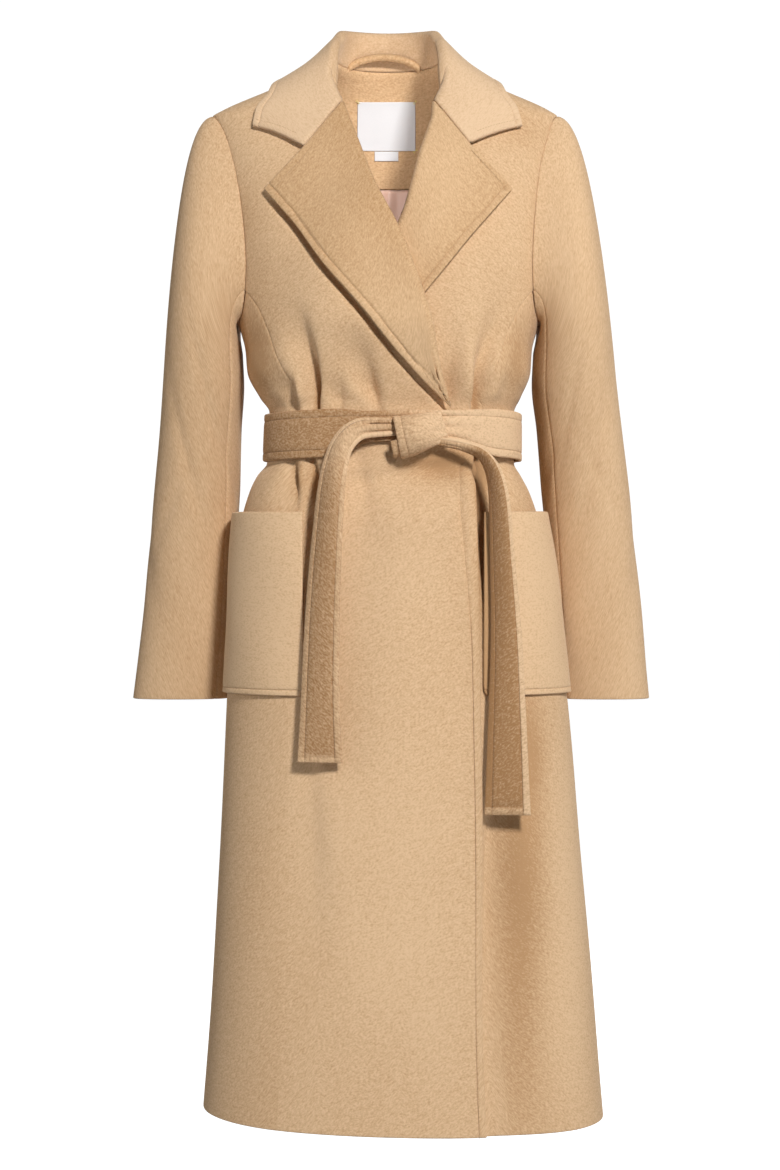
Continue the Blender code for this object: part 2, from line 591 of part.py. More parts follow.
FACING_Z = -0.1225
FACING_DEPTH = CLOTH + 0.0030
LINING_HEM_Z = HEM_Z + 0.030
LINING_EASE = 0.0085  # how far the lining hangs clear of the folded back
PLEAT, PLEAT_WIDTH = 0.0040, 0.0070


def make_facing():
    """It follows the neck at its top and is as wide as the shoulder blades at its foot."""
    z = np.array([-0.0016, -0.018, -0.036, -0.056, -0.078, -0.100, FACING_Z])[:, None]
    share = np.linspace(1, -1, 17)[None, :] * between(0.74, 0.47, ((z - z[0]) / (z[-1] - z[0])) ** 0.5)
    z = z + 0 * share
    half = np.where(share < 0, read(BODY, "left", z), read(BODY, "right", z))
    angle = np.mod(back_angle(share * half, z), 2 * np.pi)
    leaf("back_neck_facing", angle, z, -FACING_DEPTH - FACING, -FACING_DEPTH)


def make_lining():
    heights = [FACING_Z - SEAM] + [z for z in LEVELS if LINING_HEM_Z < z < FACING_Z][::2] + [LINING_HEM_Z]
    share = np.linspace(-1, 1, 15)[None, :]
    share = 0.62 * np.sign(share) * abs(share) ** 1.4
    z = np.array(heights)[:, None] + 0 * share
    half = np.where(share < 0, read(BODY, "left", z), read(BODY, "right", z))
    angle = np.mod(back_angle(share * half, z), 2 * np.pi)
    pleat = PLEAT * np.exp(-((share * half / PLEAT_WIDTH) ** 2)) * ease((z + 0.45) / 0.30)
    deep = -FACING_DEPTH - LAY - pleat - LINING_EASE * ease((FACING_Z - 0.03 - z) / 0.05)
    leaf("back_lining", angle, z, deep - LINING, deep, SATIN, 0.35, folds=False)


def make_label(name, middle_x, top_z, width, height, depth):
    x = middle_x + np.linspace(0.5, -0.5, 5)[None, :] * width
    z = np.linspace(top_z, top_z - height, 3)[:, None] + 0 * x
    leaf(name, np.mod(back_angle(x, z), 2 * np.pi), z, -depth - LABEL, -depth, WHITE, 0.6)


LABEL_DEPTH = FACING_DEPTH + FACING + SEAM
LOOP_ENDS, LOOP_Z, LOOP_RISE = (-0.042, 0.036), 0.0035, 0.0125
LOOP_WIDTH, LOOP_THICK, LOOP_OFF = 0.008, 0.003, 0.0042


def make_hanger_loop():
    """A folded strip, sewn in at the neck seam at both ends and arched up between them."""
    share = np.linspace(0, 1, 13)
    x = between(LOOP_ENDS[0], LOOP_ENDS[1], share)
    arch = np.sin(np.pi * share) ** 0.6
    half = LOOP_WIDTH / 2
    rows = []
    for side in (-1, 1):
        z = LOOP_Z + LOOP_RISE * arch + side * half * (0.35 + 0.65 * arch)
        angle = np.mod(back_angle(x, 0 * x), 2 * np.pi)
        y = body(angle, 0 * x, folds=False)[:, 1] - DOUBLE - LOOP_OFF - 0.004 * arch
        rows.append(np.stack([x, y, z], axis=-1))
    front = np.array(rows)
    wall("hanger_loop", front - np.array([0, LOOP_THICK, 0]), front)


# ---- Pockets --------------------------------------------------------------------------------------------

POCKET_TOP_Z, POCKET_BOTTOM_Z, POCKET_WIDTH = -0.491, -0.686, 0.160
POCKET_EDGE = {-1: 0.085, 1: 0.0985}  # how far its inner edge is from the middle, on each side
POCKET_CLOTH = 0.0034  # the patch with its own lining
POCKET_STAND = 0.0095  # how far the mouth stands off the coat


def make_pocket(name, side):
    share = np.linspace(0, 1, 9)[None, :]
    down = np.linspace(0, 1, 8)[:, None]
    z = between(POCKET_TOP_Z, POCKET_BOTTOM_Z, down) + 0 * share
    angle = []
    for row in z:
        start = front_angle(side * POCKET_EDGE[side] + 0 * row[0], row[0])
        sweep = np.linspace(0, 1.9, 96) * side + start
        points = body(sweep, row[0] + 0 * sweep, over=side < 0, folds=False)
        length = np.concatenate([[0], np.cumsum(np.linalg.norm(np.diff(points, axis=0), axis=-1))])
        angle.append(np.interp(share[0] * POCKET_WIDTH, length, sweep))
    lift = LAY + POCKET_STAND * (1 - down) ** 1.3 * np.sin(np.pi * (0.06 + 0.90 * share)) ** 0.7
    leaf(name, np.array(angle), z, lift, lift + POCKET_CLOTH, over=side < 0, folds=False)


# ---- Belt -----------------------------------------------------------------------------------------------

BELT_WIDTH = BELT_TOP_Z - BELT_BOTTOM_Z
BAND_COLUMNS = 60

# The middle of each hanging end from the knot down: place, how far its inner face stands off the coat, and
# how wide it looks, where it opens out from the gathered knot to its full width.
TAIL_RIGHT = named("step x z stand wide", [
    (0.0, 0.0080, -0.4060, 0.0057, 0.026), (1.0, -0.0270, -0.4110, 0.0085, 0.025),
    (2.0, -0.0510, -0.4270, 0.0110, 0.025), (3.0, -0.0610, -0.4600, 0.0100, 0.027),
    (4.0, -0.0653, -0.5220, 0.0090, 0.028), (5.0, -0.0690, -0.6080, 0.0080, 0.035),
    (6.0, -0.0705, -0.6890, 0.0060, 0.041), (7.0, -0.0705, -0.7540, 0.0045, 0.048),
])
TAIL_LEFT = named("step x z stand wide", [
    (0.0, 0.0490, -0.4180, 0.0057, 0.016), (1.0, 0.0880, -0.4390, 0.0100, 0.020),
    (2.0, 0.1060, -0.4660, 0.0170, 0.024), (3.0, 0.1120, -0.4950, 0.0190, 0.024),
    (4.0, 0.1130, -0.5400, 0.0165, 0.026), (5.0, 0.1160, -0.6080, 0.0120, 0.030),
    (6.0, 0.1180, -0.6810, 0.0080, 0.039), (7.0, 0.1200, -0.8090, 0.0045, 0.048),
])
TAIL_ROWS = 22
KNOT_X = (0.0045, 0.0600)
KNOT_STAND = 0.0215


def make_band():
    angle = np.linspace(-np.pi, np.pi, BAND_COLUMNS, endpoint=False)[None, :]
    z = np.array([BELT_TOP_Z, (BELT_TOP_Z + BELT_BOTTOM_Z) / 2, BELT_BOTTOM_Z])[:, None] + 0 * angle
    leaf("belt_band", angle + 0 * z, z, LAY, LAY + DOUBLE, WOOL_TURNED, over=True, folds=False, ring=True)


def make_tail(name, table):
    """A hanging belt end. Where it looks narrower than it is, it bows forward across its width."""
    step = np.linspace(0, 7, TAIL_ROWS)
    x, z = read(table, "x", step), read(table, "z", step)
    run = np.stack([np.gradient(x), np.gradient(z)], axis=-1)
    run = run / np.linalg.norm(run, axis=-1, keepdims=True)
    across = np.linspace(-1, 1, 5)[None, :]
    wide = read(table, "wide", step)[:, None]
    grid_x = x[:, None] - across * wide / 2 * run[:, 1:]
    grid_z = z[:, None] + across * wide / 2 * run[:, :1]
    bow = wide * np.sqrt(0.375 * np.clip(BELT_WIDTH * 0.94 / wide - 1, 0, 1)) * 0.55 * ease(step[:, None] / 2)
    stand = read(table, "stand", step)[:, None] + bow * (1 - across ** 2)
    angle = front_angle(grid_x, grid_z)
    leaf(name, angle, grid_z, stand, stand + DOUBLE, WOOL_TURNED, over=True, folds=False)


def make_knot():
    """The turn of belt that wraps the front of the knot, from over the band's top edge to under its foot."""
    share = np.linspace(0, 1, 8)[None, :]
    turn = np.radians(np.linspace(-100, 100, 11))[:, None]
    x = between(KNOT_X[0], KNOT_X[1], share) + 0 * turn
    middle_z = between(-0.4135, -0.4120, share)
    height = between(0.0290, 0.0285, share)
    base = -body(front_angle(x, middle_z + 0 * x), middle_z + 0 * x, over=True, folds=False)[..., 1]
    base = base + LAY + DOUBLE + 0.0005
    crown = KNOT_STAND * (1 - 0.25 * (2 * share - 1) ** 2)
    sheets = []
    for grow in (0, -DOUBLE):
        z = middle_z - (height + grow) * np.sin(turn)
        y = -(base + 0.0008 + np.clip((crown + grow) * np.cos(turn), 0, 1))
        sheets.append(np.stack([x, y, z], axis=-1))
    wall("belt_knot", sheets[0], sheets[1], WOOL_TURNED)


# ---- The coat, put together -----------------------------------------------------------------------------

COAT = start_scene()
make_back()
make_front("front_right", -1)
make_front("front_left", 1)
make_side("side_body_right", -1)
make_side("side_body_left", 1)
make_sleeves()
make_facing()
make_lining()
make_label("label", -0.002, -0.0265, 0.066, 0.053, LABEL_DEPTH)
make_label("size_tag", -0.002, -0.0800, 0.027, 0.0105, LABEL_DEPTH)
make_hanger_loop()
make_collar()
make_lapel("lapel_right", -1)
make_lapel("lapel_left", 1)
make_pocket("pocket_right", -1)
make_pocket("pocket_left", 1)
make_band()
make_knot()
make_tail("belt_tail_right", TAIL_RIGHT)
make_tail("belt_tail_left", TAIL_LEFT)
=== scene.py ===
import bpy
import numpy as np
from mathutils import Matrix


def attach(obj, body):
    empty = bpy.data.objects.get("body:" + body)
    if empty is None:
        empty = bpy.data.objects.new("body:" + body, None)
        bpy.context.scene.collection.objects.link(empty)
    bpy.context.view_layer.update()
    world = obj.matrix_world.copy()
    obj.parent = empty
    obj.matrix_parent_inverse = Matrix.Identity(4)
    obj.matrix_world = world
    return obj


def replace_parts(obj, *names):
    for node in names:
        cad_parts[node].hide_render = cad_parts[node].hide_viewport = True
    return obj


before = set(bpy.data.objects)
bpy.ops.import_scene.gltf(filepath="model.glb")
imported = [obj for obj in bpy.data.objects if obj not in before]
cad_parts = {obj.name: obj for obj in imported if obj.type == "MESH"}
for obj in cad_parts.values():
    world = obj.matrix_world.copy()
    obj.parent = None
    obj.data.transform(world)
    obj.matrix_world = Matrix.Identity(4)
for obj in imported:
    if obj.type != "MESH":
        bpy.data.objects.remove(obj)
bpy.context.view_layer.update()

# ---- The back -------------------------------------------------------------------------------------------
# Cut in one piece, from the shoulder seams and the neck down to the hem, in brushed camel coating wool. The
# tied belt gathers it into soft folds at the waist, and the skirt falls from them in shallow flutes.

CLOTH = 0.0026
PAST = 0.0004  # how far a panel runs past its seam line, so that sewn edges close on each other
SHOULDER_TIP_Z, YOKE_Z, CORNER_Z, ARMHOLE_BOTTOM_Z = -0.061, -0.100, -0.255, -0.285
BELT_TOP_Z, BELT_BOTTOM_Z, HEM_Z = -0.385, -0.436, -1.140
# The share of its depth that a fold has where the belt holds it, and how far under the belt it dies out.
UNDER_BELT, BELT_FADE = 0.4, 0.016


def named(columns, rows):
    """A short table as one array for each named column, sorted on the first."""
    rows = sorted(rows)
    return {name: np.array([row[i] for row in rows]) for i, name in enumerate(columns.split())}


def read(table, name, at):
    """A column of a table at any value of its first column: a smooth curve that never overshoots its rows."""
    keys, values = list(table.values())[0], table[name]
    steps = np.diff(keys)
    rises = np.diff(values) / steps
    both = rises[1:] * rises[:-1]
    slopes = np.concatenate([rises[:1], np.zeros(len(both)), rises[-1:]])
    slopes[1:-1] = np.where(both > 0, 2 * both / np.where(both > 0, rises[1:] + rises[:-1], 1), 0)
    at = np.clip(at, keys[0], keys[-1])
    i = np.clip(np.searchsorted(keys, at) - 1, 0, len(steps) - 1)
    t = (at - keys[i]) / steps[i]
    return ((1 + 2 * t) * (1 - t) ** 2 * values[i] + t * t * (3 - 2 * t) * values[i + 1]
            + steps[i] * (t * (1 - t) ** 2 * slopes[i] - t * t * (1 - t) * slopes[i + 1]))


def ease(share):
    share = np.clip(share, 0, 1)
    return share * share * (3 - 2 * share)


def between(a, b, share):
    return a + (b - a) * share


def hump(away, wide):
    """1 at nought, and less to both sides of it, with this half width."""
    return np.exp(-((away / wide) ** 2))


# Half widths to each side, depths to the front and back, and how square the body's curve is, by height.
BODY = named("z left right front back power", [
    (0.000, 0.060, 0.060, 0.036, 0.070, 2.2),
    (-0.015, 0.087, 0.086, 0.041, 0.077, 2.2),
    (-0.035, 0.1365, 0.133, 0.048, 0.085, 2.2),
    (-0.055, 0.1825, 0.177, 0.056, 0.091, 2.2),
    (-0.062, 0.193, 0.186, 0.059, 0.093, 2.2),
    (-0.080, 0.190, 0.186, 0.068, 0.098, 2.2),
    (-0.120, 0.184, 0.182, 0.088, 0.106, 2.25),
    (-0.180, 0.176, 0.177, 0.108, 0.111, 2.3),
    (-0.230, 0.169, 0.171, 0.119, 0.109, 2.3),
    (-0.285, 0.163, 0.164, 0.121, 0.103, 2.3),
    (-0.315, 0.1555, 0.156, 0.119, 0.099, 2.4),
    (-0.340, 0.153, 0.154, 0.115, 0.095, 2.55),
    (-0.367, 0.139, 0.143, 0.106, 0.089, 2.65),
    (-0.383, 0.128, 0.136, 0.101, 0.084, 2.65),
    (-0.438, 0.128, 0.136, 0.101, 0.084, 2.65),
    (-0.451, 0.139, 0.143, 0.105, 0.090, 2.6),
    (-0.470, 0.149, 0.153, 0.110, 0.097, 2.5),
    (-0.500, 0.158, 0.163, 0.114, 0.106, 2.4),
    (-0.590, 0.168, 0.182, 0.121, 0.121, 2.3),
    (-0.700, 0.176, 0.196, 0.127, 0.127, 2.3),
    (-0.860, 0.182, 0.210, 0.133, 0.135, 2.35),
    (-1.000, 0.1905, 0.222, 0.139, 0.143, 2.35),
    (HEM_Z, 0.201, 0.234, 0.143, 0.151, 2.35),
])
# The folds on each face of the coat: where each starts and dies out, how deep it goes in, or how far a ridge
# comes out where the depth is below nought, and its half width.
FOLDS = named("x face z far_x far_z depth width", [
    (-0.0750, 1, BELT_TOP_Z, -0.0950, -0.262, 0.0240, 0.0090),
    (-0.0960, 1, BELT_TOP_Z, -0.1060, -0.325, 0.0090, 0.0080),
    (-0.0500, 1, BELT_TOP_Z, -0.0560, -0.320, 0.0070, 0.0110),
    (-0.0105, 1, BELT_TOP_Z, -0.0440, -0.280, 0.0135, 0.0120),
    (-0.0860, 1, BELT_TOP_Z, -0.1060, -0.270, -0.0075, 0.0110),
    (0.0915, 1, BELT_TOP_Z, 0.1290, -0.236, 0.0190, 0.0085),
    (0.0645, 1, BELT_TOP_Z, 0.0730, -0.262, 0.0120, 0.0110),
    (0.0800, 1, BELT_TOP_Z, 0.1100, -0.262, -0.0055, 0.0110),
    (0.1030, 1, BELT_TOP_Z, 0.1360, -0.290, -0.0050, 0.0100),
    (-0.0790, 1, BELT_BOTTOM_Z, -0.0760, -0.560, 0.0190, 0.0085),
    (-0.0990, 1, BELT_BOTTOM_Z, -0.1060, -0.535, 0.0130, 0.0085),
    (-0.0300, 1, BELT_BOTTOM_Z, -0.0200, -0.560, 0.0045, 0.0140),
    (0.0480, 1, BELT_BOTTOM_Z, 0.0520, -0.505, 0.0160, 0.0480),
    (0.0960, 1, BELT_BOTTOM_Z, 0.1060, -0.600, 0.0340, 0.0120),
    (0.1150, 1, BELT_BOTTOM_Z, 0.1300, -0.540, 0.0110, 0.0095),
    (-0.0800, 1, -0.760, -0.0840, -1.060, 0.0070, 0.0230),
    (0.1140, 1, -0.760, 0.1240, -1.300, 0.0240, 0.0260),
    (-0.0900, -1, BELT_TOP_Z, -0.1050, -0.280, 0.0065, 0.0100),
    (-0.0480, -1, BELT_TOP_Z, -0.0600, -0.255, 0.0080, 0.0105),
    (0.0030, -1, BELT_TOP_Z, 0.0080, -0.270, 0.0065, 0.0110),
    (0.0520, -1, BELT_TOP_Z, 0.0640, -0.250, 0.0080, 0.0100),
    (0.0950, -1, BELT_TOP_Z, 0.1080, -0.285, 0.0065, 0.0095),
    (-0.0850, -1, BELT_BOTTOM_Z, -0.1000, -0.560, 0.0070, 0.0100),
    (-0.0320, -1, BELT_BOTTOM_Z, -0.0400, -0.600, 0.0075, 0.0110),
    (0.0280, -1, BELT_BOTTOM_Z, 0.0380, -0.590, 0.0070, 0.0120),
    (0.0880, -1, BELT_BOTTOM_Z, 0.1030, -0.560, 0.0070, 0.0100),
    (-0.0700, -1, -0.780, -0.0850, -1.300, 0.0060, 0.0340),
    (0.0850, -1, -0.800, 0.1000, -1.300, 0.0060, 0.0360),
])
# How much lower the hem hangs at the left side, and higher at the right, and from which height down.
HEM_TILT, TILT_FROM_Z = 0.0055, -0.95
LOPSIDED = 1.9  # a fold falls away this much more slowly on its right, and a flute on its outer side
FLUTES_Z, FLUTE_FADE = -0.6, 0.07  # the broad flutes of the skirt start below this height, and fade upward
FOLD_GROWN, FLUTE_GROWN = 0.2, 0.35  # the share of its run in which a fold or a flute reaches its full depth
FOLD_HOLDS = 1.15  # how long along its run it stays deep
FOLD_NARROW, FOLD_WIDENS, SLOW_FROM = 0.45, 1.1, 0.4  # its width at the belt, and how it opens from there
WAVES_DEEP = 0.0007


def fold_depth(x, face, z):
    """How far the folds draw the cloth in. Each widens as it leaves the belt."""
    depth = 0 * x
    for i in range(len(FOLDS["x"])):
        start, end = FOLDS["z"][i], FOLDS["far_z"][i]
        run = (z - start) / (end - start)
        flute = start < FLUTES_Z
        grown = UNDER_BELT + (1 - UNDER_BELT) * ease(run / (FLUTE_GROWN if flute else FOLD_GROWN))
        fade = FLUTE_FADE if flute else BELT_FADE
        under = UNDER_BELT * hump(run * (end - start), fade)
        along = np.where(run < 0, under, grown * ease(FOLD_HOLDS * (1 - run)))
        middle = FOLDS["x"][i] + np.clip(run, 0, 1) * (FOLDS["far_x"][i] - FOLDS["x"][i])
        open_out = np.clip(run, 0, 1)
        width = FOLDS["width"][i] * (FOLD_NARROW + FOLD_WIDENS * open_out)
        slow_side = (x - middle) * (-np.sign(middle) if flute else 1) < 0
        slower = between(1, LOPSIDED, ease(open_out / SLOW_FROM))
        across = hump(x - middle, np.where(slow_side, slower * width, width))
        depth = depth + np.where(face == FOLDS["face"][i], FOLDS["depth"][i] * along * across, 0)
    return depth


def unevenness(x, z):
    """The slight waves that heavy cloth hangs in, well under a folded crease."""
    wave = np.sin(23 * x + 5 * z + 0.6) * np.sin(9 * z - 4 * x)
    wave = wave + 0.6 * np.sin(41 * x - 7 * z) * np.sin(17 * z + 1.1)
    return WAVES_DEEP * wave * ease((YOKE_Z - z) / 0.1)


def half_towards(x, z):
    """The coat's half width at this height, on the side that x is on."""
    return np.where(x < 0, read(BODY, "left", z), read(BODY, "right", z))


def body(angle, z, folds=True):
    """Points on the body's outer face: angle runs from centre front to the left side and round."""
    sine, cosine = np.sin(angle), np.cos(angle)
    half = half_towards(sine, z)
    depth = np.where(cosine > 0, read(BODY, "front", z), read(BODY, "back", z))
    power = read(BODY, "power", z)
    radius = ((abs(sine) / half) ** power + (abs(cosine) / depth) ** power) ** (-1 / power)
    if folds:
        radius = radius - fold_depth(radius * sine, np.sign(cosine), z) + unevenness(radius * sine, z)
    drop = HEM_TILT * np.clip(radius * sine / 0.2, -1, 1) * ease((TILT_FROM_Z - z) / 0.19)
    return np.stack([radius * sine, -radius * cosine, z - drop + 0 * radius], axis=-1)


def normals(surface, a, b, step_a=0.003, step_b=0.001):
    """Unit normals of surface(a, b), on the side that a crossed with b gives."""
    along_a = surface(a + step_a, b) - surface(a - step_a, b)
    along_b = surface(a, b + step_b) - surface(a, b - step_b)
    normal = np.cross(along_a, along_b)
    return normal / np.linalg.norm(normal, axis=-1, keepdims=True)


def laid(surface, angle, z, out):
    """Points of a surface moved out along its normals."""
    return surface(angle, z) + normals(surface, angle, z) * (out + 0 * z)[..., None]


def angle_at(x, z, face):
    """The angle at which the front (face 1) or back (face -1) of the coat stands at this x."""
    half = half_towards(x, z)
    power = read(BODY, "power", z)
    deepest = read(BODY, "front" if face > 0 else "back", z)
    deep = deepest * np.clip(1 - abs(x / half) ** power, 0, 1) ** (1 / power)
    return np.arctan2(x, face * deep)


def back_angle(x, z):
    """The angle of the back at this x, from 0 to a full turn, so that it runs on past the back's middle."""
    return np.mod(angle_at(x, z, -1), 2 * np.pi)


# The seams of the side panels, as shares of the half width at their height.
SIDE_SEAMS = named("z princess back", [
    (CORNER_Z, 0.923, 0.923), (-0.275, 0.845, 0.870), (-0.300, 0.800, 0.810), (-0.320, 0.775, 0.770),
    (-0.340, 0.730, 0.735), (-0.367, 0.695, 0.700), (-0.385, 0.730, 0.700), (-0.437, 0.730, 0.700),
    (-0.500, 0.620, 0.650), (-0.700, 0.575, 0.610), (HEM_Z, 0.560, 0.590),
])
ARMHOLE_BITE, ARMHOLE_FULL = 0.115, 0.45
PRESSED_FROM_Z = -0.455


def half_width(side, z):
    return read(BODY, "right" if side > 0 else "left", z)


def armhole_share(z):
    """How far out the edge of the armhole lies, as a share of the body's half width."""
    run = np.clip((SHOULDER_TIP_Z - z) / (SHOULDER_TIP_Z - ARMHOLE_BOTTOM_Z), 0, 1)
    return 1 - ARMHOLE_BITE * np.sin(np.pi * run) ** ARMHOLE_FULL


def pressed_flat(z):
    """The seams of the skirt are pressed so flat under the nap that they hardly show."""
    return ease((PRESSED_FROM_Z - z) / 0.05)


def outer_seam(side, face, ahead=1):
    """The outer edge of a front or of the back, by height: the armhole, then the seam to the side panel."""
    name = "princess" if face > 0 else "back"

    def angle(z):
        share = np.where(z > CORNER_Z, armhole_share(z), read(SIDE_SEAMS, name, z))
        past = ahead * (PAST + 0.0009 * pressed_flat(z))
        return angle_at(side * (share * half_width(side, z) + past), z, face)
    return angle


# The heights of a panel's rows, closest where the folds are, and how far in from a seam its columns start.
HEIGHTS = np.concatenate([
    np.arange(-0.108, -0.150, -0.008), np.arange(-0.1515, -0.390, -0.0028),
    np.arange(-0.3925, -0.560, -0.0048), np.arange(-0.566, -1.128, -0.0092),
    [-1.131, -1.135, -1.1375, -1.1388, -1.1395, HEM_Z]])
NEAR_SEAM = np.array([0, 0.0004, 0.0009, 0.0014, 0.0025, 0.0050])


def panel(top_angle, top_z, zone_z, zone, edge_a, edge_b):
    """Angles and heights of a panel's rows: from its own top edge they ease to level ones at zone_z."""
    share = np.linspace(0, 1, len(top_z))
    base = between(edge_a(zone_z), edge_b(zone_z), share)
    rows = []
    for t in zone:
        z_a, z_b = between(top_z[0], zone_z, t), between(top_z[-1], zone_z, t)
        angle = between(top_angle, base, t)
        if t > 0:
            angle = angle + (1 - share) * (edge_a(z_a) - angle[0]) + share * (edge_b(z_b) - angle[-1])
        rows.append((angle, between(top_z, zone_z, t)))
    rows += [(between(edge_a(z), edge_b(z), share), z + 0 * share) for z in HEIGHTS if z < zone_z - 0.002]
    return tuple(np.array(values) for values in zip(*rows))


def run(grid, axis):
    """Each point's distance along its row or column from the first."""
    steps = np.linalg.norm(np.diff(grid, axis=axis), axis=-1)
    start = np.zeros_like(np.take(steps, [0], axis=axis))
    return np.concatenate([start, np.cumsum(steps, axis=axis)], axis=axis)


def spaced(surface, angle, z, near_a, near_b, middle, widen=None):
    """The rows again, with columns a set distance from both edges and evenly spread between them."""
    along = run(surface(angle, z), 1)
    rows = []
    for i, length in enumerate(along):
        total = length[-1]
        first = near_a * (1 if widen is None else widen[i])
        shrink = min(1, 0.45 * total / max(first[-1], near_b[-1]))
        inner = np.linspace(shrink * first[-1], total - shrink * near_b[-1], middle + 2)[1:-1]
        at = np.concatenate([shrink * first, inner, total - shrink * near_b[::-1]])
        rows.append((np.interp(at, length, angle[i]), np.interp(at, length, z[i])))
    return tuple(np.array(values) for values in zip(*rows))


def new_material(name):
    material = bpy.data.materials.new(name)
    material.use_nodes = True
    nodes = material.node_tree.nodes
    return material, nodes, material.node_tree.links, nodes["Principled BSDF"]


def made_group(name, inputs, outputs):
    """A group of shader nodes with these sockets."""
    group = bpy.data.node_groups.new(name, "ShaderNodeTree")
    for socket, kind, value in inputs:
        made = group.interface.new_socket(socket, in_out="INPUT", socket_type=kind)
        if value is not None:
            made.default_value = value
    for socket, kind in outputs:
        group.interface.new_socket(socket, in_out="OUTPUT", socket_type=kind)
    return group, group.nodes.new("NodeGroupInput"), group.nodes.new("NodeGroupOutput")


def number(nodes, links, operation, *values):
    """A Math node on these sockets and numbers."""
    node = nodes.new("ShaderNodeMath")
    node.operation = operation
    for socket, value in zip(node.inputs, values):
        if isinstance(value, (int, float)):
            socket.default_value = value
        else:
            links.new(value, socket)
    return node.outputs[0]


def cloudy(nodes, links, vector, scale, detail=2.0, stretch=(1, 1, 1)):
    """A noise value from 0 to 1, of this many cycles a metre, over the cloth's own flat measure."""
    mapping = nodes.new("ShaderNodeMapping")
    mapping.inputs["Scale"].default_value = stretch
    noise = nodes.new("ShaderNodeTexNoise")
    noise.inputs["Scale"].default_value = scale
    noise.inputs["Detail"].default_value = detail
    links.new(vector, mapping.inputs["Vector"])
    links.new(mapping.outputs[0], noise.inputs["Vector"])
    return noise.outputs["Fac"]


def two_tone(nodes, links, share, deep, lit):
    """A colour between these two, by a value from 0 to 1."""
    blend = nodes.new("ShaderNodeMix")
    blend.data_type = "RGBA"
    blend.inputs["A"].default_value = (*deep, 1)
    blend.inputs["B"].default_value = (*lit, 1)
    links.new(share, blend.inputs["Factor"])
    return blend.outputs["Result"]


def raised(nodes, links, height, shader, distance, strength=1.0):
    """The shader's surface is raised by this value, by up to this distance."""
    relief = nodes.new("ShaderNodeBump")
    relief.inputs["Distance"].default_value = distance
    relief.inputs["Strength"].default_value = strength
    links.new(height, relief.inputs["Height"])
    links.new(relief.outputs[0], shader.inputs["Normal"])


def brushed_nap():
    """Fibres brushed one way over a felted ground: fine streaks, soft clumps and broad pressed clouds."""
    group, given, out = made_group(
        "brushed_nap",
        [("Lit nap", "NodeSocketColor", (0.7, 0.5, 0.3, 1)),
         ("Deep nap", "NodeSocketColor", (0.4, 0.25, 0.12, 1)),
         ("Lie_and_shading", "NodeSocketFloat", 0.0), ("Contrast", "NodeSocketFloat", 1.0)],
        [("Colour", "NodeSocketColor"), ("Height", "NodeSocketFloat")])
    nodes, links = group.nodes, group.links
    flat = nodes.new("ShaderNodeUVMap").outputs[0]
    streaks = cloudy(nodes, links, flat, 480, 3, (0.75, 1.0, 1))
    clumps = cloudy(nodes, links, flat, 190, 2, (0.6, 1.0, 1))
    clouds = cloudy(nodes, links, flat, 11, 2, (1.0, 0.6, 1))
    fibres = cloudy(nodes, links, flat, 1300, 2, (0.5, 1.0, 1))
    mixed = number(nodes, links, "MULTIPLY_ADD", streaks, 2.1, -1.05)
    mixed = number(nodes, links, "MULTIPLY_ADD", clumps, 0.8, mixed)
    mixed = number(nodes, links, "MULTIPLY_ADD", clouds, 0.45, mixed)
    mixed = number(nodes, links, "MULTIPLY_ADD", fibres, 0.9, mixed)
    mixed = number(nodes, links, "SUBTRACT", mixed, 1.075)
    mixed = number(nodes, links, "MULTIPLY", mixed, given.outputs["Contrast"])
    lie_and_shading = number(nodes, links, "MULTIPLY_ADD", given.outputs["Lie_and_shading"], 0.5, 0.5)
    tone = number(nodes, links, "ADD", mixed, lie_and_shading)
    blend = nodes.new("ShaderNodeMix")
    blend.data_type = "RGBA"
    blend.clamp_factor = True
    links.new(tone, blend.inputs["Factor"])
    links.new(given.outputs["Deep nap"], blend.inputs["A"])
    links.new(given.outputs["Lit nap"], blend.inputs["B"])
    links.new(blend.outputs["Result"], out.inputs["Colour"])
    height = number(nodes, links, "MULTIPLY", fibres, 0.35)
    height = number(nodes, links, "MULTIPLY_ADD", streaks, 0.55, height)
    links.new(number(nodes, links, "MULTIPLY_ADD", clumps, 0.35, height), out.inputs["Height"])
    return group


NAP = brushed_nap()


def wool(name, lit, deep, contrast, bump, sheen):
    """Brushed coating wool. Its nap attribute mixes the lit and deep colours: partly the nap's own lie,
    partly painted light and painted shade laid on each piece.
    """
    material, nodes, links, shader = new_material(name)
    nap_and_shading = nodes.new("ShaderNodeGroup")
    nap_and_shading.node_tree = NAP
    nap_and_shading.inputs["Lit nap"].default_value = (*lit, 1)
    nap_and_shading.inputs["Deep nap"].default_value = (*deep, 1)
    nap_and_shading.inputs["Contrast"].default_value = contrast
    lie_and_shading = nodes.new("ShaderNodeAttribute")
    lie_and_shading.attribute_name = "nap_and_shading"
    links.new(lie_and_shading.outputs["Fac"], nap_and_shading.inputs["Lie_and_shading"])
    links.new(nap_and_shading.outputs["Colour"], shader.inputs["Base Color"])
    raised(nodes, links, nap_and_shading.outputs["Height"], shader, bump, 0.55)
    shader.inputs["Roughness"].default_value = 0.95
    shader.inputs["Specular IOR Level"].default_value = 0.15
    shader.inputs["Sheen Weight"].default_value = sheen
    shader.inputs["Sheen Roughness"].default_value = 0.45
    shader.inputs["Sheen Tint"].default_value = (1.0, 0.86, 0.68, 1)
    return material


COAT_WOOL = wool("camel_coating", (0.700, 0.485, 0.292), (0.470, 0.275, 0.135), 0.85, 0.0012, 0.18)


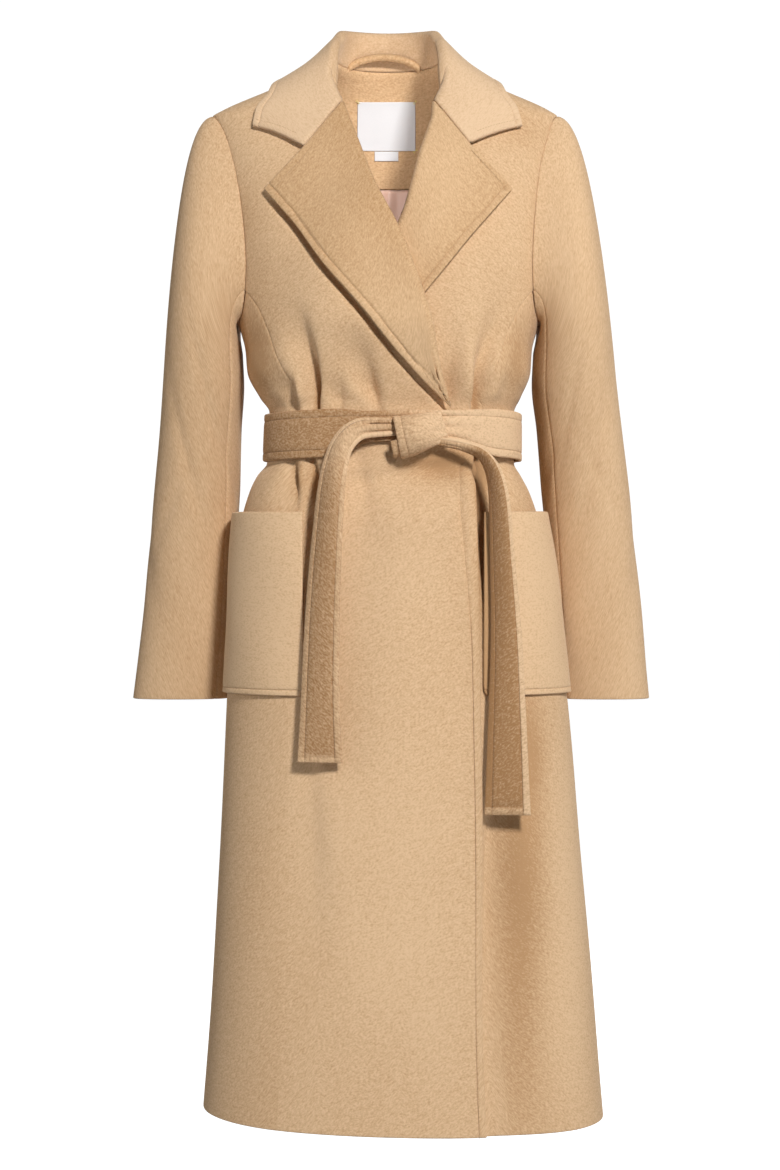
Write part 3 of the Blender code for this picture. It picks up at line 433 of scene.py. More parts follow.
def cloth(name, middle, thick, material, nap_and_shading=0.0, ring=False,
          round_over="abcd"):
    """A piece of cloth: a flat grid laid on its form and given its thickness, which its cut edges round over.

    Its edges are a, the first column, b, the last, c, the top row, and d, the bottom row.
    """
    rows, columns = middle.shape[:2]
    across, down = run(middle, 1), run(middle, 0)
    inside = {"a": across, "b": across[:, -1:] - across, "c": down, "d": down[-1:] - down}
    near = np.minimum.reduce([inside[edge] for edge in round_over])
    full = np.clip(near / (thick / 2), 0, 1)
    weights = np.sqrt(1 - (1 - full) ** 2).ravel()
    bpy.ops.object.select_all(action="DESELECT")
    bpy.ops.mesh.primitive_grid_add(x_subdivisions=columns - 1, y_subdivisions=rows - 1, size=1)
    piece = bpy.context.object
    piece.name = piece.data.name = name
    mesh = piece.data
    mesh.vertices.foreach_set("co", middle.ravel())
    corner = np.empty(len(mesh.loops), np.int32)
    mesh.loops.foreach_get("vertex_index", corner)
    flat = np.stack([across - across[:, columns // 2, None], -down], axis=-1).reshape(-1, 2)
    mesh.uv_layers.active.data.foreach_set("uv", flat[corner].ravel())
    # Each point's nap value: how the nap lies, together with painted light and painted shade.
    lie_and_shading = mesh.attributes.new("nap_and_shading", "FLOAT", "POINT")
    lie_and_shading.data.foreach_set("value", (nap_and_shading + 0 * across).ravel())
    group = piece.vertex_groups.new(name="thick")
    group.add(np.nonzero(weights >= 0.999)[0].tolist(), 1, "REPLACE")
    for i in np.nonzero(weights < 0.999)[0]:
        group.add([int(i)], float(weights[i]), "REPLACE")
    if ring:
        merge_near(piece)
    walls = piece.modifiers.new("thickness", "SOLIDIFY")
    walls.thickness = thick
    walls.offset = 0
    walls.vertex_group = "thick"
    bpy.ops.object.modifier_apply(modifier=walls.name)
    merge_near(piece)
    piece.vertex_groups.clear()
    bpy.ops.object.shade_smooth()
    mesh.materials.append(material)
    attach(piece, "root")
    return piece


# Painted shade and painted light on the body's panels: darker in the folds at the belt, under the knot and
# the belt's ends and in the gaps beside them, on the side panels, in a flute of the skirt, beside the right
# lapel's edge and near the left shoulder, and lighter over broad areas of the front; soft lighter and darker
# patches on the back. Place, face, half width and height, and how much lighter or darker that makes the
# cloth.
PAINTED_SHADING = named("x z face wide high tone", [
    (-0.170, -0.178, 1, 0.034, 0.036, -0.60), (-0.140, -0.265, 1, 0.022, 0.050, -0.25),
    (0.140, -0.082, 1, 0.032, 0.026, -0.65), (0.165, -0.180, 1, 0.014, 0.060, -0.30),
    (-0.010, -0.900, 1, 0.075, 0.190, 0.35), (0.000, -0.560, 1, 0.060, 0.080, 0.25),
    (0.138, -0.870, 1, 0.024, 0.230, -1.40), (0.195, -0.900, 1, 0.026, 0.240, 0.60),
    (0.060, -0.441, 1, 0.038, 0.019, -1.90), (0.098, -0.530, 1, 0.005, 0.100, -1.60),
    (0.0965, -0.458, 1, 0.007, 0.030, -1.90),
    (-0.0745, -0.378, 1, 0.004, 0.022, -1.50), (0.0915, -0.376, 1, 0.004, 0.022, -1.50),
    (-0.0940, -0.455, 1, 0.006, 0.026, -1.30), (-0.0775, -0.462, 1, 0.005, 0.030, -1.50),
    (-0.140, -0.335, 1, 0.017, 0.045, -1.60), (0.136, -0.335, 1, 0.013, 0.040, -1.00),
    (0.150, -0.745, 1, 0.016, 0.045, -0.80),
    (-0.080, -0.780, 1, 0.050, 0.090, 0.20), (0.060, -1.050, 1, 0.050, 0.080, 0.20),
    (-0.060, -0.230, -1, 0.060, 0.080, 0.25), (0.070, -0.300, -1, 0.050, 0.070, -0.20),
    (0.040, -0.700, -1, 0.080, 0.160, 0.25), (-0.090, -0.900, -1, 0.060, 0.150, -0.25),
])


def painted_shading(points):
    """How much lighter or darker the cloth is painted at these points: painted shade and painted light."""
    tone = 0 * points[..., 0]
    for x, z, face, wide, high, change in zip(*PAINTED_SHADING.values()):
        near = np.exp(-(((points[..., 0] - x) / wide) ** 2) - ((points[..., 2] - z) / high) ** 2)
        tone = tone + change * near * (points[..., 1] * face < 0)
    return tone


def merge_near(piece):
    """Points of a piece that lie on each other become one."""
    bpy.context.view_layer.objects.active = piece
    piece.select_set(True)
    bpy.ops.object.mode_set(mode="EDIT")
    bpy.ops.mesh.select_all(action="SELECT")
    bpy.ops.mesh.remove_doubles(threshold=0.00002)
    bpy.ops.object.mode_set(mode="OBJECT")


SEAM_DEEP, SEAM_WIDE = 0.0008, 0.0016


def seam_groove(points):
    """How a pressed seam pulls both long edges of a panel in."""
    along = run(points, 1)
    near = np.minimum(along, along[:, -1:] - along)
    return -SEAM_DEEP * hump(near, SEAM_WIDE) * (1 - pressed_flat(points[..., 2]))


# Where the first rows of the fronts and the back lie, from the shoulder seam at 0 to level ones at 1.
TOP_ZONE = (0, 0.008, 0.018, 0.035, 0.06, 0.10, 0.16, 0.23, 0.31, 0.40, 0.49, 0.59, 0.69, 0.80, 0.90, 1.0)


def make_back():
    ridge = np.linspace(1, 0, 40, endpoint=False)
    neck = np.linspace(0.5 * np.pi, 1.5 * np.pi, 81)
    top_z = np.concatenate([SHOULDER_TIP_Z * ridge, 0 * neck, SHOULDER_TIP_Z * ridge[::-1]])
    top_angle = np.concatenate([0 * ridge + 0.5 * np.pi, neck, 0 * ridge + 1.5 * np.pi])

    def left_seam(z):
        return np.mod(outer_seam(-1, -1)(z), 2 * np.pi)
    angle, z = panel(top_angle, top_z, YOKE_Z, TOP_ZONE, outer_seam(1, -1), left_seam)
    angle, z = spaced(body, angle, z, NEAR_SEAM, NEAR_SEAM, 112)
    middle = laid(body, angle, z, seam_groove(body(angle, z)) - CLOTH / 2)
    return cloth("coat_back", middle, CLOTH, COAT_WOOL, nap_and_shading=0.25 + painted_shading(middle))


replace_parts(make_back(), "back")

# ---- The fronts -----------------------------------------------------------------------------------------
# Each is cut in one piece from the shoulder to the hem. Below the belt its free edge is turned under and
# stitched 8 mm in, wider just under the belt. The right front laps over the left one, and rises over its
# edge and its lapel.

DOUBLE, LAY = 0.0044, 0.0008
LAP_BLEND, LAP_PAST, LAP_GAP, LAP_FROM_Z = 0.085, 0.010, 0.0016, -0.090
# The heights at which the lapel under the right front lifts it: not yet, in full, still in full, no more.
HIDDEN_LAPEL = (-0.130, -0.170, -0.292, -0.340)
FRONT_EDGE = named("z x", [
    (0.000, -0.060), (-0.027, -0.056), (-0.055, -0.047), (-0.100, -0.031), (-0.150, -0.0117),
    (-0.198, 0.0104), (-0.277, 0.0374), (-0.386, 0.0654), (-0.411, 0.080), (-0.436, 0.0905),
    (-0.700, 0.0935), (-0.823, 0.096), (HEM_Z, 0.102),
])
# How much further the left front lies open than the right one, by height.
LEFT_OPEN = named("z x", [
    (0.000, 0.0), (-0.055, 0.0), (-0.0775, 0.0050), (-0.1126, 0.0065), (-0.1486, 0.0110), (-0.1835, 0.0166),
    (-0.240, 0.018), (-0.300, 0.010), (-0.370, 0.0),
])
ROLLED = 0.0052  # above the belt a front ends this far inside the fold of its lapel
STITCH_IN = 0.008
NEAR_STITCH = np.array([0, 0.0004, 0.0010, 0.0016, 0.0024, 0.0042, 0.0058, 0.0067, 0.0074, 0.0080, 0.0086,
                        0.0093, 0.0103, 0.0125, 0.0160])
ROW_OF_STITCHES = 9  # the one of them that lies STITCH_IN from the edge
GROOVE_DEEP, GROOVE_WIDE, TURNED_SWELL = 0.0013, 0.0011, 0.0003

LAPEL_EDGE = named("z x", [
    (-0.1515, -0.1300), (-0.2027, -0.0878), (-0.2715, -0.0334), (-0.3408, 0.0218), (-0.3863, 0.0657),
])
LAPEL_SLANT = 0.768  # how far off the lapel's edge a point is for each metre to the side of it
PRESSED_IN, PRESSED_OFF, PRESSED_WIDE = 0.0085, 0.0022, 0.0034  # how deep, how far outside the edge, how wide
PRESSED_TOP_Z, PRESSED_END_Z = -0.152, -0.392


def under_lapel(x, z):
    """How far the edge of the right lapel, which rests on the front, presses the cloth beside it in."""
    aside = (x - read(LAPEL_EDGE, "x", z)) * LAPEL_SLANT
    along = ease((PRESSED_TOP_Z - z) / 0.02) * ease((z - PRESSED_END_Z) / 0.006)
    return PRESSED_IN * along * hump(aside + PRESSED_OFF, PRESSED_WIDE)


def lap(x, z):
    """How far the right front is lifted by the left front under it, and by that front's lapel."""
    covered = ease((x + read(FRONT_EDGE, "x", z) + LAP_BLEND + LAP_PAST) / LAP_BLEND)
    start, full, ends, gone = HIDDEN_LAPEL
    lapel = ease((start - z) / (start - full)) * ease((z - gone) / (ends - gone))
    front = ease((LAP_FROM_Z - z) / 0.060) * (CLOTH + LAP_GAP)
    return covered * (front + lapel * (DOUBLE + 3 * LAY))


HELD, HELD_FROM_X, HELD_END_Z = 0.9, 0.068, -0.74


def edge_holds(x, z):
    """Just under the belt the stiff turned edge bridges the folds of the left front below it."""
    near_edge = ease((x - HELD_FROM_X) / 0.018)
    return HELD * near_edge * ease((BELT_BOTTOM_Z - z) / 0.03) * ease((z - HELD_END_Z) / 0.12)


def over(angle, z, folds=True):
    """Points on the outer face of the right front, which lies over the left one."""
    points = body(angle, z, folds)
    flat = body(angle, z, False)
    outward = np.stack([np.sin(angle), -np.cos(angle), 0 * angle], axis=-1)
    out = lap(flat[..., 0], z) - (under_lapel(flat[..., 0], z) if folds else 0)
    points = points + (edge_holds(flat[..., 0], z) * (np.cos(angle) > 0))[..., None] * (flat - points)
    return points + (out * (np.cos(angle) > 0))[..., None] * outward


def bare_over(angle, z):
    return over(angle, z, folds=False)


def bare_body(angle, z):
    return body(angle, z, folds=False)


def stitch_groove(near):
    """How a row of topstitching pulls the cloth down, and how the turned edge outside it swells."""
    swell = TURNED_SWELL * ease(near / 0.002) * ease((STITCH_IN - near) / 0.003)
    return swell - GROOVE_DEEP * hump(near - STITCH_IN, GROOVE_WIDE)


def edge_x(side, z):
    """Where a front ends, or rolls over into its lapel. Side is -1 for the right front and 1 for the left."""
    return -side * read(FRONT_EDGE, "x", z) + (read(LEFT_OPEN, "x", z) if side > 0 else 0)


def free_edge(side):
    """The inner edge of a front, by height: above the belt it ends just inside the fold of its lapel."""
    def angle(z):
        rolled = ROLLED * ease((z + 0.395) / 0.012) * ease(-z / 0.03)
        x = edge_x(side, z) + side * rolled
        return angle_at(np.where(z >= -1e-9, side * half_width(side, z), x), z, 1)
    return angle


WIDER, WIDER_TOP_Z, WIDER_END_Z = 1.15, -0.41, -0.66  # how much further in the stitches run under the belt
STANDS_OFF, OFF_WIDE = 0.0024, 0.016  # how far the right front's free edge stands off, and over what width


def make_front(name, side):
    share = np.linspace(0, 1, 161)
    top_z = SHOULDER_TIP_Z * share
    top_angle = side * (np.pi / 2 + PAST / half_width(side, top_z))
    surface = over if side < 0 else body
    angle, z = panel(top_angle, top_z, YOKE_Z, TOP_ZONE, free_edge(side), outer_seam(side, 1))
    rows_z = z[:, 0]
    widen = 1 + WIDER * ease((rows_z - WIDER_END_Z) / 0.20) * ease((WIDER_TOP_Z - rows_z) / 0.02) * (side < 0)
    angle, z = spaced(surface, angle, z, NEAR_STITCH, NEAR_SEAM, 96, widen)
    points = surface(angle, z)
    from_free = run(points, 1)
    sewn = stitch_groove(from_free / widen[:, None]) * ease((BELT_BOTTOM_Z - z) / 0.01)
    pressed = seam_groove(points) * ease((from_free - 0.01) / 0.01)
    off = STANDS_OFF * hump(from_free, OFF_WIDE) * ease((BELT_BOTTOM_Z - z) / 0.05) * (side < 0)
    middle = laid(surface, angle, z, sewn + pressed + off - CLOTH / 2)
    piece = cloth(name, middle, CLOTH, COAT_WOOL, nap_and_shading=0.35 + painted_shading(middle))
    line = laid(surface, angle, z, sewn + off)[:, ROW_OF_STITCHES]
    return piece, line[z[:, ROW_OF_STITCHES] < BELT_BOTTOM_Z - 0.004]


STITCH_LONG, STITCH_THICK, STITCH_PITCH = 0.0030, 0.0005, 0.0034
TONAL_THREAD, _, _, thread_shader = new_material("tonal_thread")
thread_shader.inputs["Base Color"].default_value = (0.43, 0.265, 0.135, 1)
thread_shader.inputs["Roughness"].default_value = 0.6


def thread(name, lines, material=TONAL_THREAD):
    """Topstitching: short tight stitches laid end to end along each line, half sunk in the nap."""
    bpy.ops.object.select_all(action="DESELECT")
    bpy.ops.mesh.primitive_uv_sphere_add(segments=6, ring_count=4, radius=1)
    stitch = bpy.context.object
    shape = np.empty(len(stitch.data.vertices) * 3)
    stitch.data.vertices.foreach_get("co", shape)
    shape = shape.reshape(-1, 3) * (STITCH_THICK / 2, STITCH_THICK / 2, STITCH_LONG / 2)
    faces = [list(face.vertices) for face in stitch.data.polygons]
    bpy.data.objects.remove(stitch, do_unlink=True)
    points, polygons = [], []
    for line in lines:
        length = run(line[:, None], 0)[:, 0]
        for at in np.arange(STITCH_PITCH / 2, length[-1], STITCH_PITCH):
            place, ahead = (np.array([np.interp(d, length, line[:, k]) for k in range(3)])
                            for d in (at, at + 0.0005))
            along = (ahead - place) / max(np.linalg.norm(ahead - place), 1e-9)
            across = np.cross(along, (0.3, 0.5, 0.81))
            across = across / np.linalg.norm(across)
            turn = np.stack([across, np.cross(along, across), along])
            polygons += [[k + len(points) * len(shape) for k in face] for face in faces]
            points.append(place + shape @ turn)
    mesh = bpy.data.meshes.new(name)
    mesh.from_pydata(np.concatenate(points).tolist(), [], polygons)
    mesh.shade_smooth()
    mesh.materials.append(material)
    piece = bpy.data.objects.new(name, mesh)
    bpy.context.scene.collection.objects.link(piece)
    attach(piece, "root")
    return piece


for name, side in (("front_right", -1), ("front_left", 1)):
    front, line = make_front("coat_" + name, side)
    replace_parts(front, name)
    thread("stitching_" + name, [line])

# ---- The side panels ------------------------------------------------------------------------------------
# Between the princess seam and the back seam, from under the arm to the hem, in the same wool. Their seams
# are pressed, and in the skirt they all but vanish under the nap.

SIDE_COLUMNS, SIDE_LEVEL_Z = 121, -0.300  # below this height the rows of a side panel are level


def make_side(name, side):
    top_z = between(ARMHOLE_BOTTOM_Z, CORNER_Z, np.linspace(-1, 1, SIDE_COLUMNS) ** 2)
    x = side * armhole_share(top_z) * half_width(side, top_z)
    first = np.arange(SIDE_COLUMNS) < SIDE_COLUMNS // 2
    top_angle = np.where(first, angle_at(x, top_z, 1), angle_at(x, top_z, -1))
    surface = over if side < 0 else body
    zone = (0, 0.03, 0.07, 0.15, 0.30, 0.50, 0.75, 1.0)
    seams = outer_seam(side, 1, -1), outer_seam(side, -1, -1)
    angle, z = panel(top_angle, top_z, SIDE_LEVEL_Z, zone, *seams)
    angle, z = spaced(surface, angle, z, NEAR_SEAM, NEAR_SEAM, 38)
    middle = laid(surface, angle, z, seam_groove(surface(angle, z)) - CLOTH / 2)
    return cloth(name, middle, CLOTH, COAT_WOOL, nap_and_shading=0.25 + painted_shading(middle))


for name, side in (("side_body_right", -1), ("side_body_left", 1)):
    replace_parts(make_side("coat_" + name, side), name)

# ---- The sleeves ----------------------------------------------------------------------------------------
# Two-piece tailored sleeves: a wide top sleeve and a narrow under sleeve, seamed down the front and the back
# of the arm, eased into the armhole over a soft sleeve head and turned under at the cuff.

SLEEVE = named("z outer_left inner_left outer_right inner_right middle_y half_depth", [
    (-0.320, 0.2440, 0.1590, 0.2465, 0.1585, 0.010, 0.066),
    (-0.350, 0.2465, 0.1580, 0.2500, 0.1575, 0.016, 0.064),
    (-0.401, 0.2510, 0.1615, 0.2570, 0.1635, 0.026, 0.060),
    (-0.466, 0.2580, 0.1635, 0.2660, 0.1690, 0.036, 0.056),
    (-0.532, 0.2650, 0.1660, 0.2735, 0.1740, 0.046, 0.053),
    (-0.597, 0.2715, 0.1690, 0.2815, 0.1780, 0.054, 0.050),
    (-0.663, 0.2800, 0.1740, 0.2875, 0.1820, 0.061, 0.047),
    (-0.696, 0.2845, 0.1770, 0.2910, 0.1840, 0.064, 0.045),
])
SLEEVE_TOP_Z, CUFF_Z, SLEEVE_SQUARE = -0.320, -0.696, 2.15
SLEEVE_SEAM_DEEP, SLEEVE_SEAM_WIDE = 0.0010, 0.0018  # how a sleeve's seams are pressed in
# The tone of each sleeve piece by side, painted light and painted shade: the right under sleeve painted light
# and the left one dark, the left top sleeve lighter than the right.
TOP_SLEEVE_SHADING, UNDER_SLEEVE_SHADING = {-1: 0.2, 1: 0.45}, {-1: 0.6, 1: 0.05}


def armhole_turn(z):
    """The turn round the armhole at which its front edge comes down to this height."""
    reach = (SHOULDER_TIP_Z - np.asarray(z)) / (SHOULDER_TIP_Z - ARMHOLE_BOTTOM_Z)
    return np.arccos(1 - 2 * reach)


def sleeve_ring(side, turn, z):
    """Points round a sleeve at this height: turn is 0 on its outer side and a quarter turn in front."""
    name = "right" if side > 0 else "left"
    outer, inner = read(SLEEVE, "outer_" + name, z), read(SLEEVE, "inner_" + name, z)
    cosine, sine = np.cos(turn), np.sin(turn)
    square = (abs(cosine) ** SLEEVE_SQUARE + abs(sine) ** SLEEVE_SQUARE) ** (-1 / SLEEVE_SQUARE)
    x = side * ((outer + inner) / 2 + (outer - inner) / 2 * square * cosine)
    y = read(SLEEVE, "middle_y", z) - read(SLEEVE, "half_depth", z) * square * sine
    return np.stack([x, y, z + 0 * x], axis=-1)


def sleeve_surface(side):
    """Points on a sleeve: down is 0 at the armhole, 1 where the sleeve is whole and 2 at the cuff."""
    def surface(turn, down):
        turn, down = np.broadcast_arrays(turn, down)
        z = between(SHOULDER_TIP_Z, ARMHOLE_BOTTOM_Z, (1 - np.cos(turn)) / 2)
        x = side * armhole_share(z) * half_width(side, z)
        angle = np.where(np.sin(turn) >= 0, angle_at(x, z, 1), angle_at(x, z, -1))
        edge, out = bare_body(angle, z), side * normals(bare_body, angle, z)
        away = np.stack([side * np.ones(turn.shape), 0 * turn, -0.25 - 0.2 * (1 - np.cos(turn))], axis=-1)
        away = away / np.linalg.norm(away, axis=-1, keepdims=True)
        start = edge + PAST * (0.5 * out - 2 * away)
        end = sleeve_ring(side, turn, SLEEVE_TOP_Z + 0 * turn)
        reach = np.linalg.norm(end - start, axis=-1, keepdims=True)
        high = (1 + np.cos(turn))[..., None] / 2
        first = start + (0.10 + 0.18 * (1 - high)) * reach * away + np.array([0, 0, 1]) * 0.006 * high
        slope = sleeve_ring(side, turn, SLEEVE_TOP_Z - 0.03 + 0 * turn) - end
        last = end - slope / 0.03 * (0.42 + 0.18 * high) * reach
        t = np.clip(down, 0, 1)[..., None]
        cap = (1 - t) ** 3 * start + 3 * t * (1 - t) ** 2 * first
        cap = cap + 3 * t * t * (1 - t) * last + t ** 3 * end
        arm = sleeve_ring(side, turn, between(SLEEVE_TOP_Z, CUFF_Z, np.clip(down - 1, 0, 1.2)))
        return np.where(down[..., None] <= 1, cap, arm)
    return surface


# Soft creases on a sleeve: the turn and the place down the sleeve of each, its slant, depth, length, width.
SLEEVE_CREASES = (
    (1.35, 1.30, 0.35, 0.0022, 0.55, 0.055), (1.10, 1.42, -0.30, 0.0018, 0.45, 0.050),
    (1.75, 1.12, 0.45, 0.0016, 0.50, 0.050), (0.50, 1.62, 0.25, 0.0012, 0.60, 0.070),
    (-1.20, 1.36, -0.35, 0.0020, 0.55, 0.055), (2.70, 1.35, 0.20, 0.0024, 0.70, 0.050),
)


def sleeve_out(turn, down):
    """How far out a sleeve's creases move its cloth."""
    out = 0 * turn
    for at, middle, slant, depth, long, wide in SLEEVE_CREASES:
        aside = np.angle(np.exp(1j * (turn - at)))
        line = down - middle - slant * aside
        out = out - depth * np.exp(-((line / wide) ** 2) - (aside / long) ** 2)
    return out


def make_sleeve(name, side, first, last, middle_columns, nap_and_shading):
    surface = sleeve_surface(side)
    down = np.concatenate([[0, 0.0015, 0.004, 0.008, 0.016], np.linspace(0.03, 1, 44),
                           np.linspace(1.012, 1.985, 66), [1.991, 1.9955, 1.998, 1.999, 2.0]])
    turn, down = np.meshgrid(np.linspace(first, last, 121), down)
    turn, down = spaced(surface, turn, down, NEAR_SEAM, NEAR_SEAM, middle_columns)
    outward = side * normals(surface, turn, np.clip(down, 0.0055, 1.9945), 0.01, 0.005)
    points = surface(turn, down)
    along = run(points, 1)
    near = np.minimum(along, along[:, -1:] - along)
    pressed = -SLEEVE_SEAM_DEEP * hump(near, SLEEVE_SEAM_WIDE)
    middle = points + (sleeve_out(turn, down) + pressed - CLOTH / 2)[..., None] * outward
    return cloth(name, middle, CLOTH, COAT_WOOL, nap_and_shading=nap_and_shading)


for whose, side in (("right", -1), ("left", 1)):
    corner = float(armhole_turn(CORNER_Z))
    reach = corner + PAST / 0.05
    top = make_sleeve("coat_top_sleeve_" + whose, side, -reach, reach, 74, TOP_SLEEVE_SHADING[side])
    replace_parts(top, "top_sleeve_" + whose)
    rest = 2 * np.pi - corner
    under = make_sleeve("coat_under_sleeve_" + whose, side, corner, rest, 14, UNDER_SLEEVE_SHADING[side])
    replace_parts(under, "under_sleeve_" + whose)

# ---- The lapels -----------------------------------------------------------------------------------------
# The top of each front with its facing, folded back over a soft roll. Two layers of wool, turned at the
# outer edge and edge-stitched, with the nap of the facing lying the other way.

GORGE_Z, LAPEL_POINT_Z = -0.0560, -0.1515
NOTCH_X, NOTCH_Z = 0.085, -0.105
LAPEL_END_Z = {-1: -0.3815, 1: -0.288}
LAPEL_LAY, LAPEL_ROLL, LAPEL_OFF, FACING_IN = 0.0018, 0.0045, 0.0035, 0.016
TURNED_WOOL = wool("camel_facing", (0.680, 0.462, 0.270), (0.440, 0.255, 0.118), 0.75, 0.0011, 0.20)


def make_lapel(name, side):
    """Columns run from inside the neckline over the roll to the outer edge; rows from the gorge down."""
    surface = bare_over if side < 0 else bare_body
    down = np.concatenate([[0, 0.001, 0.003, 0.006, 0.012, 0.020, 0.0245, 0.029, 0.036],
                           np.linspace(0.045, 1, 72)])[:, None]
    end_z = LAPEL_END_Z[side]
    roll_z = between(GORGE_Z, end_z, down)
    edge_z = between(LAPEL_POINT_Z, end_z, down ** 0.9)
    roll_x, rim_x = side * edge_x(side, roll_z), -read(LAPEL_EDGE, "x", edge_z)
    straight_x, straight_z = (roll_x[0, 0] + rim_x[0, 0]) / 2, (GORGE_Z + LAPEL_POINT_Z) / 2
    flat_z = end_z if side < 0 else HIDDEN_LAPEL[1]

    def place(share):
        bend = np.minimum(share, 1 - share) * 2 * (1 - down) ** 3
        x = side * (between(roll_x, rim_x, share) + bend * (NOTCH_X - straight_x))
        z = between(roll_z, edge_z, share) + bend * (NOTCH_Z - straight_z)
        return x, z
    x, z = place(np.linspace(0, 1, 121)[None, :])
    wide = run(surface(angle_at(x, z, 1), z), 1)[:, -1:]
    turn = np.radians(np.arange(180, -1, -12))[None, :]
    facing = np.array([[1.0, 0.6, 0.25]])
    roll = np.minimum((LAPEL_LAY + LAPEL_ROLL + DOUBLE + CLOTH + 0.002) / 2, 0.4 * wide)
    inner = roll + facing * FACING_IN * ease(wide / 0.03)
    bent = roll * (1 - np.sin(turn))
    near = np.minimum(NEAR_STITCH[None, ::-1], 0.5 * wide * NEAR_STITCH[None, ::-1] / NEAR_STITCH[-1])
    flat = between(roll, wide - near[:, :1], np.linspace(0, 1, 42)[None, 1:-1])
    aside = np.concatenate([inner, bent, flat, wide - near], axis=1)
    x, z = place(aside / wide)
    off = LAPEL_OFF * np.sin(np.pi * np.clip(down / 0.92, 0, 1)) ** 0.6
    rise = LAPEL_LAY + DOUBLE + between(LAPEL_ROLL * ease((z - flat_z) / 0.050), off, aside / wide)
    top = LAPEL_LAY + DOUBLE + LAPEL_ROLL * ease((roll_z - flat_z) / 0.050)
    round_top = np.concatenate([0 * inner - 1, np.cos(turn) + 0 * roll, 0 * flat + 1, 0 * near + 1], axis=1)
    in_roll = np.arange(aside.shape[1])[None, :] < facing.shape[1] + turn.shape[1]
    blend = ease((aside - roll) / (0.35 * wide - 0.3 * roll + 0.001))
    out = np.where(in_roll, top - roll + roll * round_top, between(top, rise, blend))
    from_edge = wide - aside
    from_top = run(surface(angle_at(x, z, 1), z), 0)
    past_notch = ease((aside / wide - 0.50) / 0.04)
    sewn = stitch_groove(from_edge) + stitch_groove(from_top) * past_notch * (from_edge > STITCH_IN - 0.001)
    angle = angle_at(x, z, 1)
    lifted = laid(surface, angle, z, out + sewn)
    outward = normals_of(lifted) * side
    middle = lifted - outward * DOUBLE / 2
    # Painted light and painted shade on the lapels: the right one darker along its roll and lighter towards
    # its lower end, the left one darker towards its outer edge.
    if side < 0:
        nap_and_shading = -0.15 - 0.30 * ease(1 - aside / (0.5 * wide)) + 0.75 * ease((down - 0.25) / 0.5)
    else:
        nap_and_shading = 0.30 - 0.35 * ease((aside / wide - 0.4) / 0.6) + 0 * down
    piece = cloth(name, middle, DOUBLE, TURNED_WOOL, nap_and_shading=nap_and_shading)
    stitches = [lifted[6:, -10]]
    across = (aside[6] / wide[6] > 0.52) & (from_edge[6] > STITCH_IN)
    stitches.append(lifted[6, across])
    inner = int(np.argmax(turn[0] <= 90)) + facing.shape[1]
    meets = aside[0] <= 0.5 * wide[0]
    return piece, stitches, (middle[0, meets], inner)


def normals_of(grid):
    """Unit normals of a grid of points, row by column."""
    along, down = np.gradient(grid, axis=1), np.gradient(grid, axis=0)
    normal = np.cross(down, along)
    return normal / np.maximum(np.linalg.norm(normal, axis=-1, keepdims=True), 1e-12)


# The top of each lapel up to its notch, where the collar is sewn on, and which point of it is the roll's.
GORGE = {}
for whose, side in (("right", -1), ("left", 1)):
    lapel, lines, GORGE[side] = make_lapel("coat_lapel_" + whose, side)
    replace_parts(lapel, "lapel_" + whose)
    thread("stitching_lapel_" + whose, lines)

# ---- The collar -----------------------------------------------------------------------------------------
# Two layers of wool: a stand that rises from the neck seam, a soft fold, and a deep fall that lies back over
# the shoulders. Its ends meet the lapels at the gorge seams, and its free edges are edge-stitched.

COLLAR = named("station neck neck_z stand lean edge edge_z", [
    (0.00, 180, 0.000, 0.0455, 0, 180, -0.038),
    (0.25, 152, 0.000, 0.0435, -8, 153, -0.034),
    (0.50, 118, 0.000, 0.0380, -16, 117, -0.029),
    (0.70, 90, -0.0005, 0.0240, -22, 92, -0.025),
    (0.86, 60, -0.022, 0.0150, -6, 75, -0.046),
    (1.00, 41, -0.0545, 0.0100, 60, 71.5, -0.081),
])
FOLD_RADIUS, COLLAR_LAY, NECK_GAP = 0.0042, 0.0018, 0.0016
NOTCH_DIP, NOTCH_SWING, NOTCH_AT = 0.038, np.radians(8), 0.46
STAND_SEWN = range(36, 165)  # the columns, of 201, between which a row of stitches runs along the stand


def neck_angle(station):
    """The neck seam follows the back's neckline to the shoulder, and from there the fronts' free edges."""
    at, side = abs(station), np.where(station < 0, -1.0, 1.0)
    z = read(COLLAR, "neck_z", at)
    front = angle_at(-read(FRONT_EDGE, "x", z), z, 1)
    return side * np.where(at > 0.7, front, np.radians(read(COLLAR, "neck", at)))


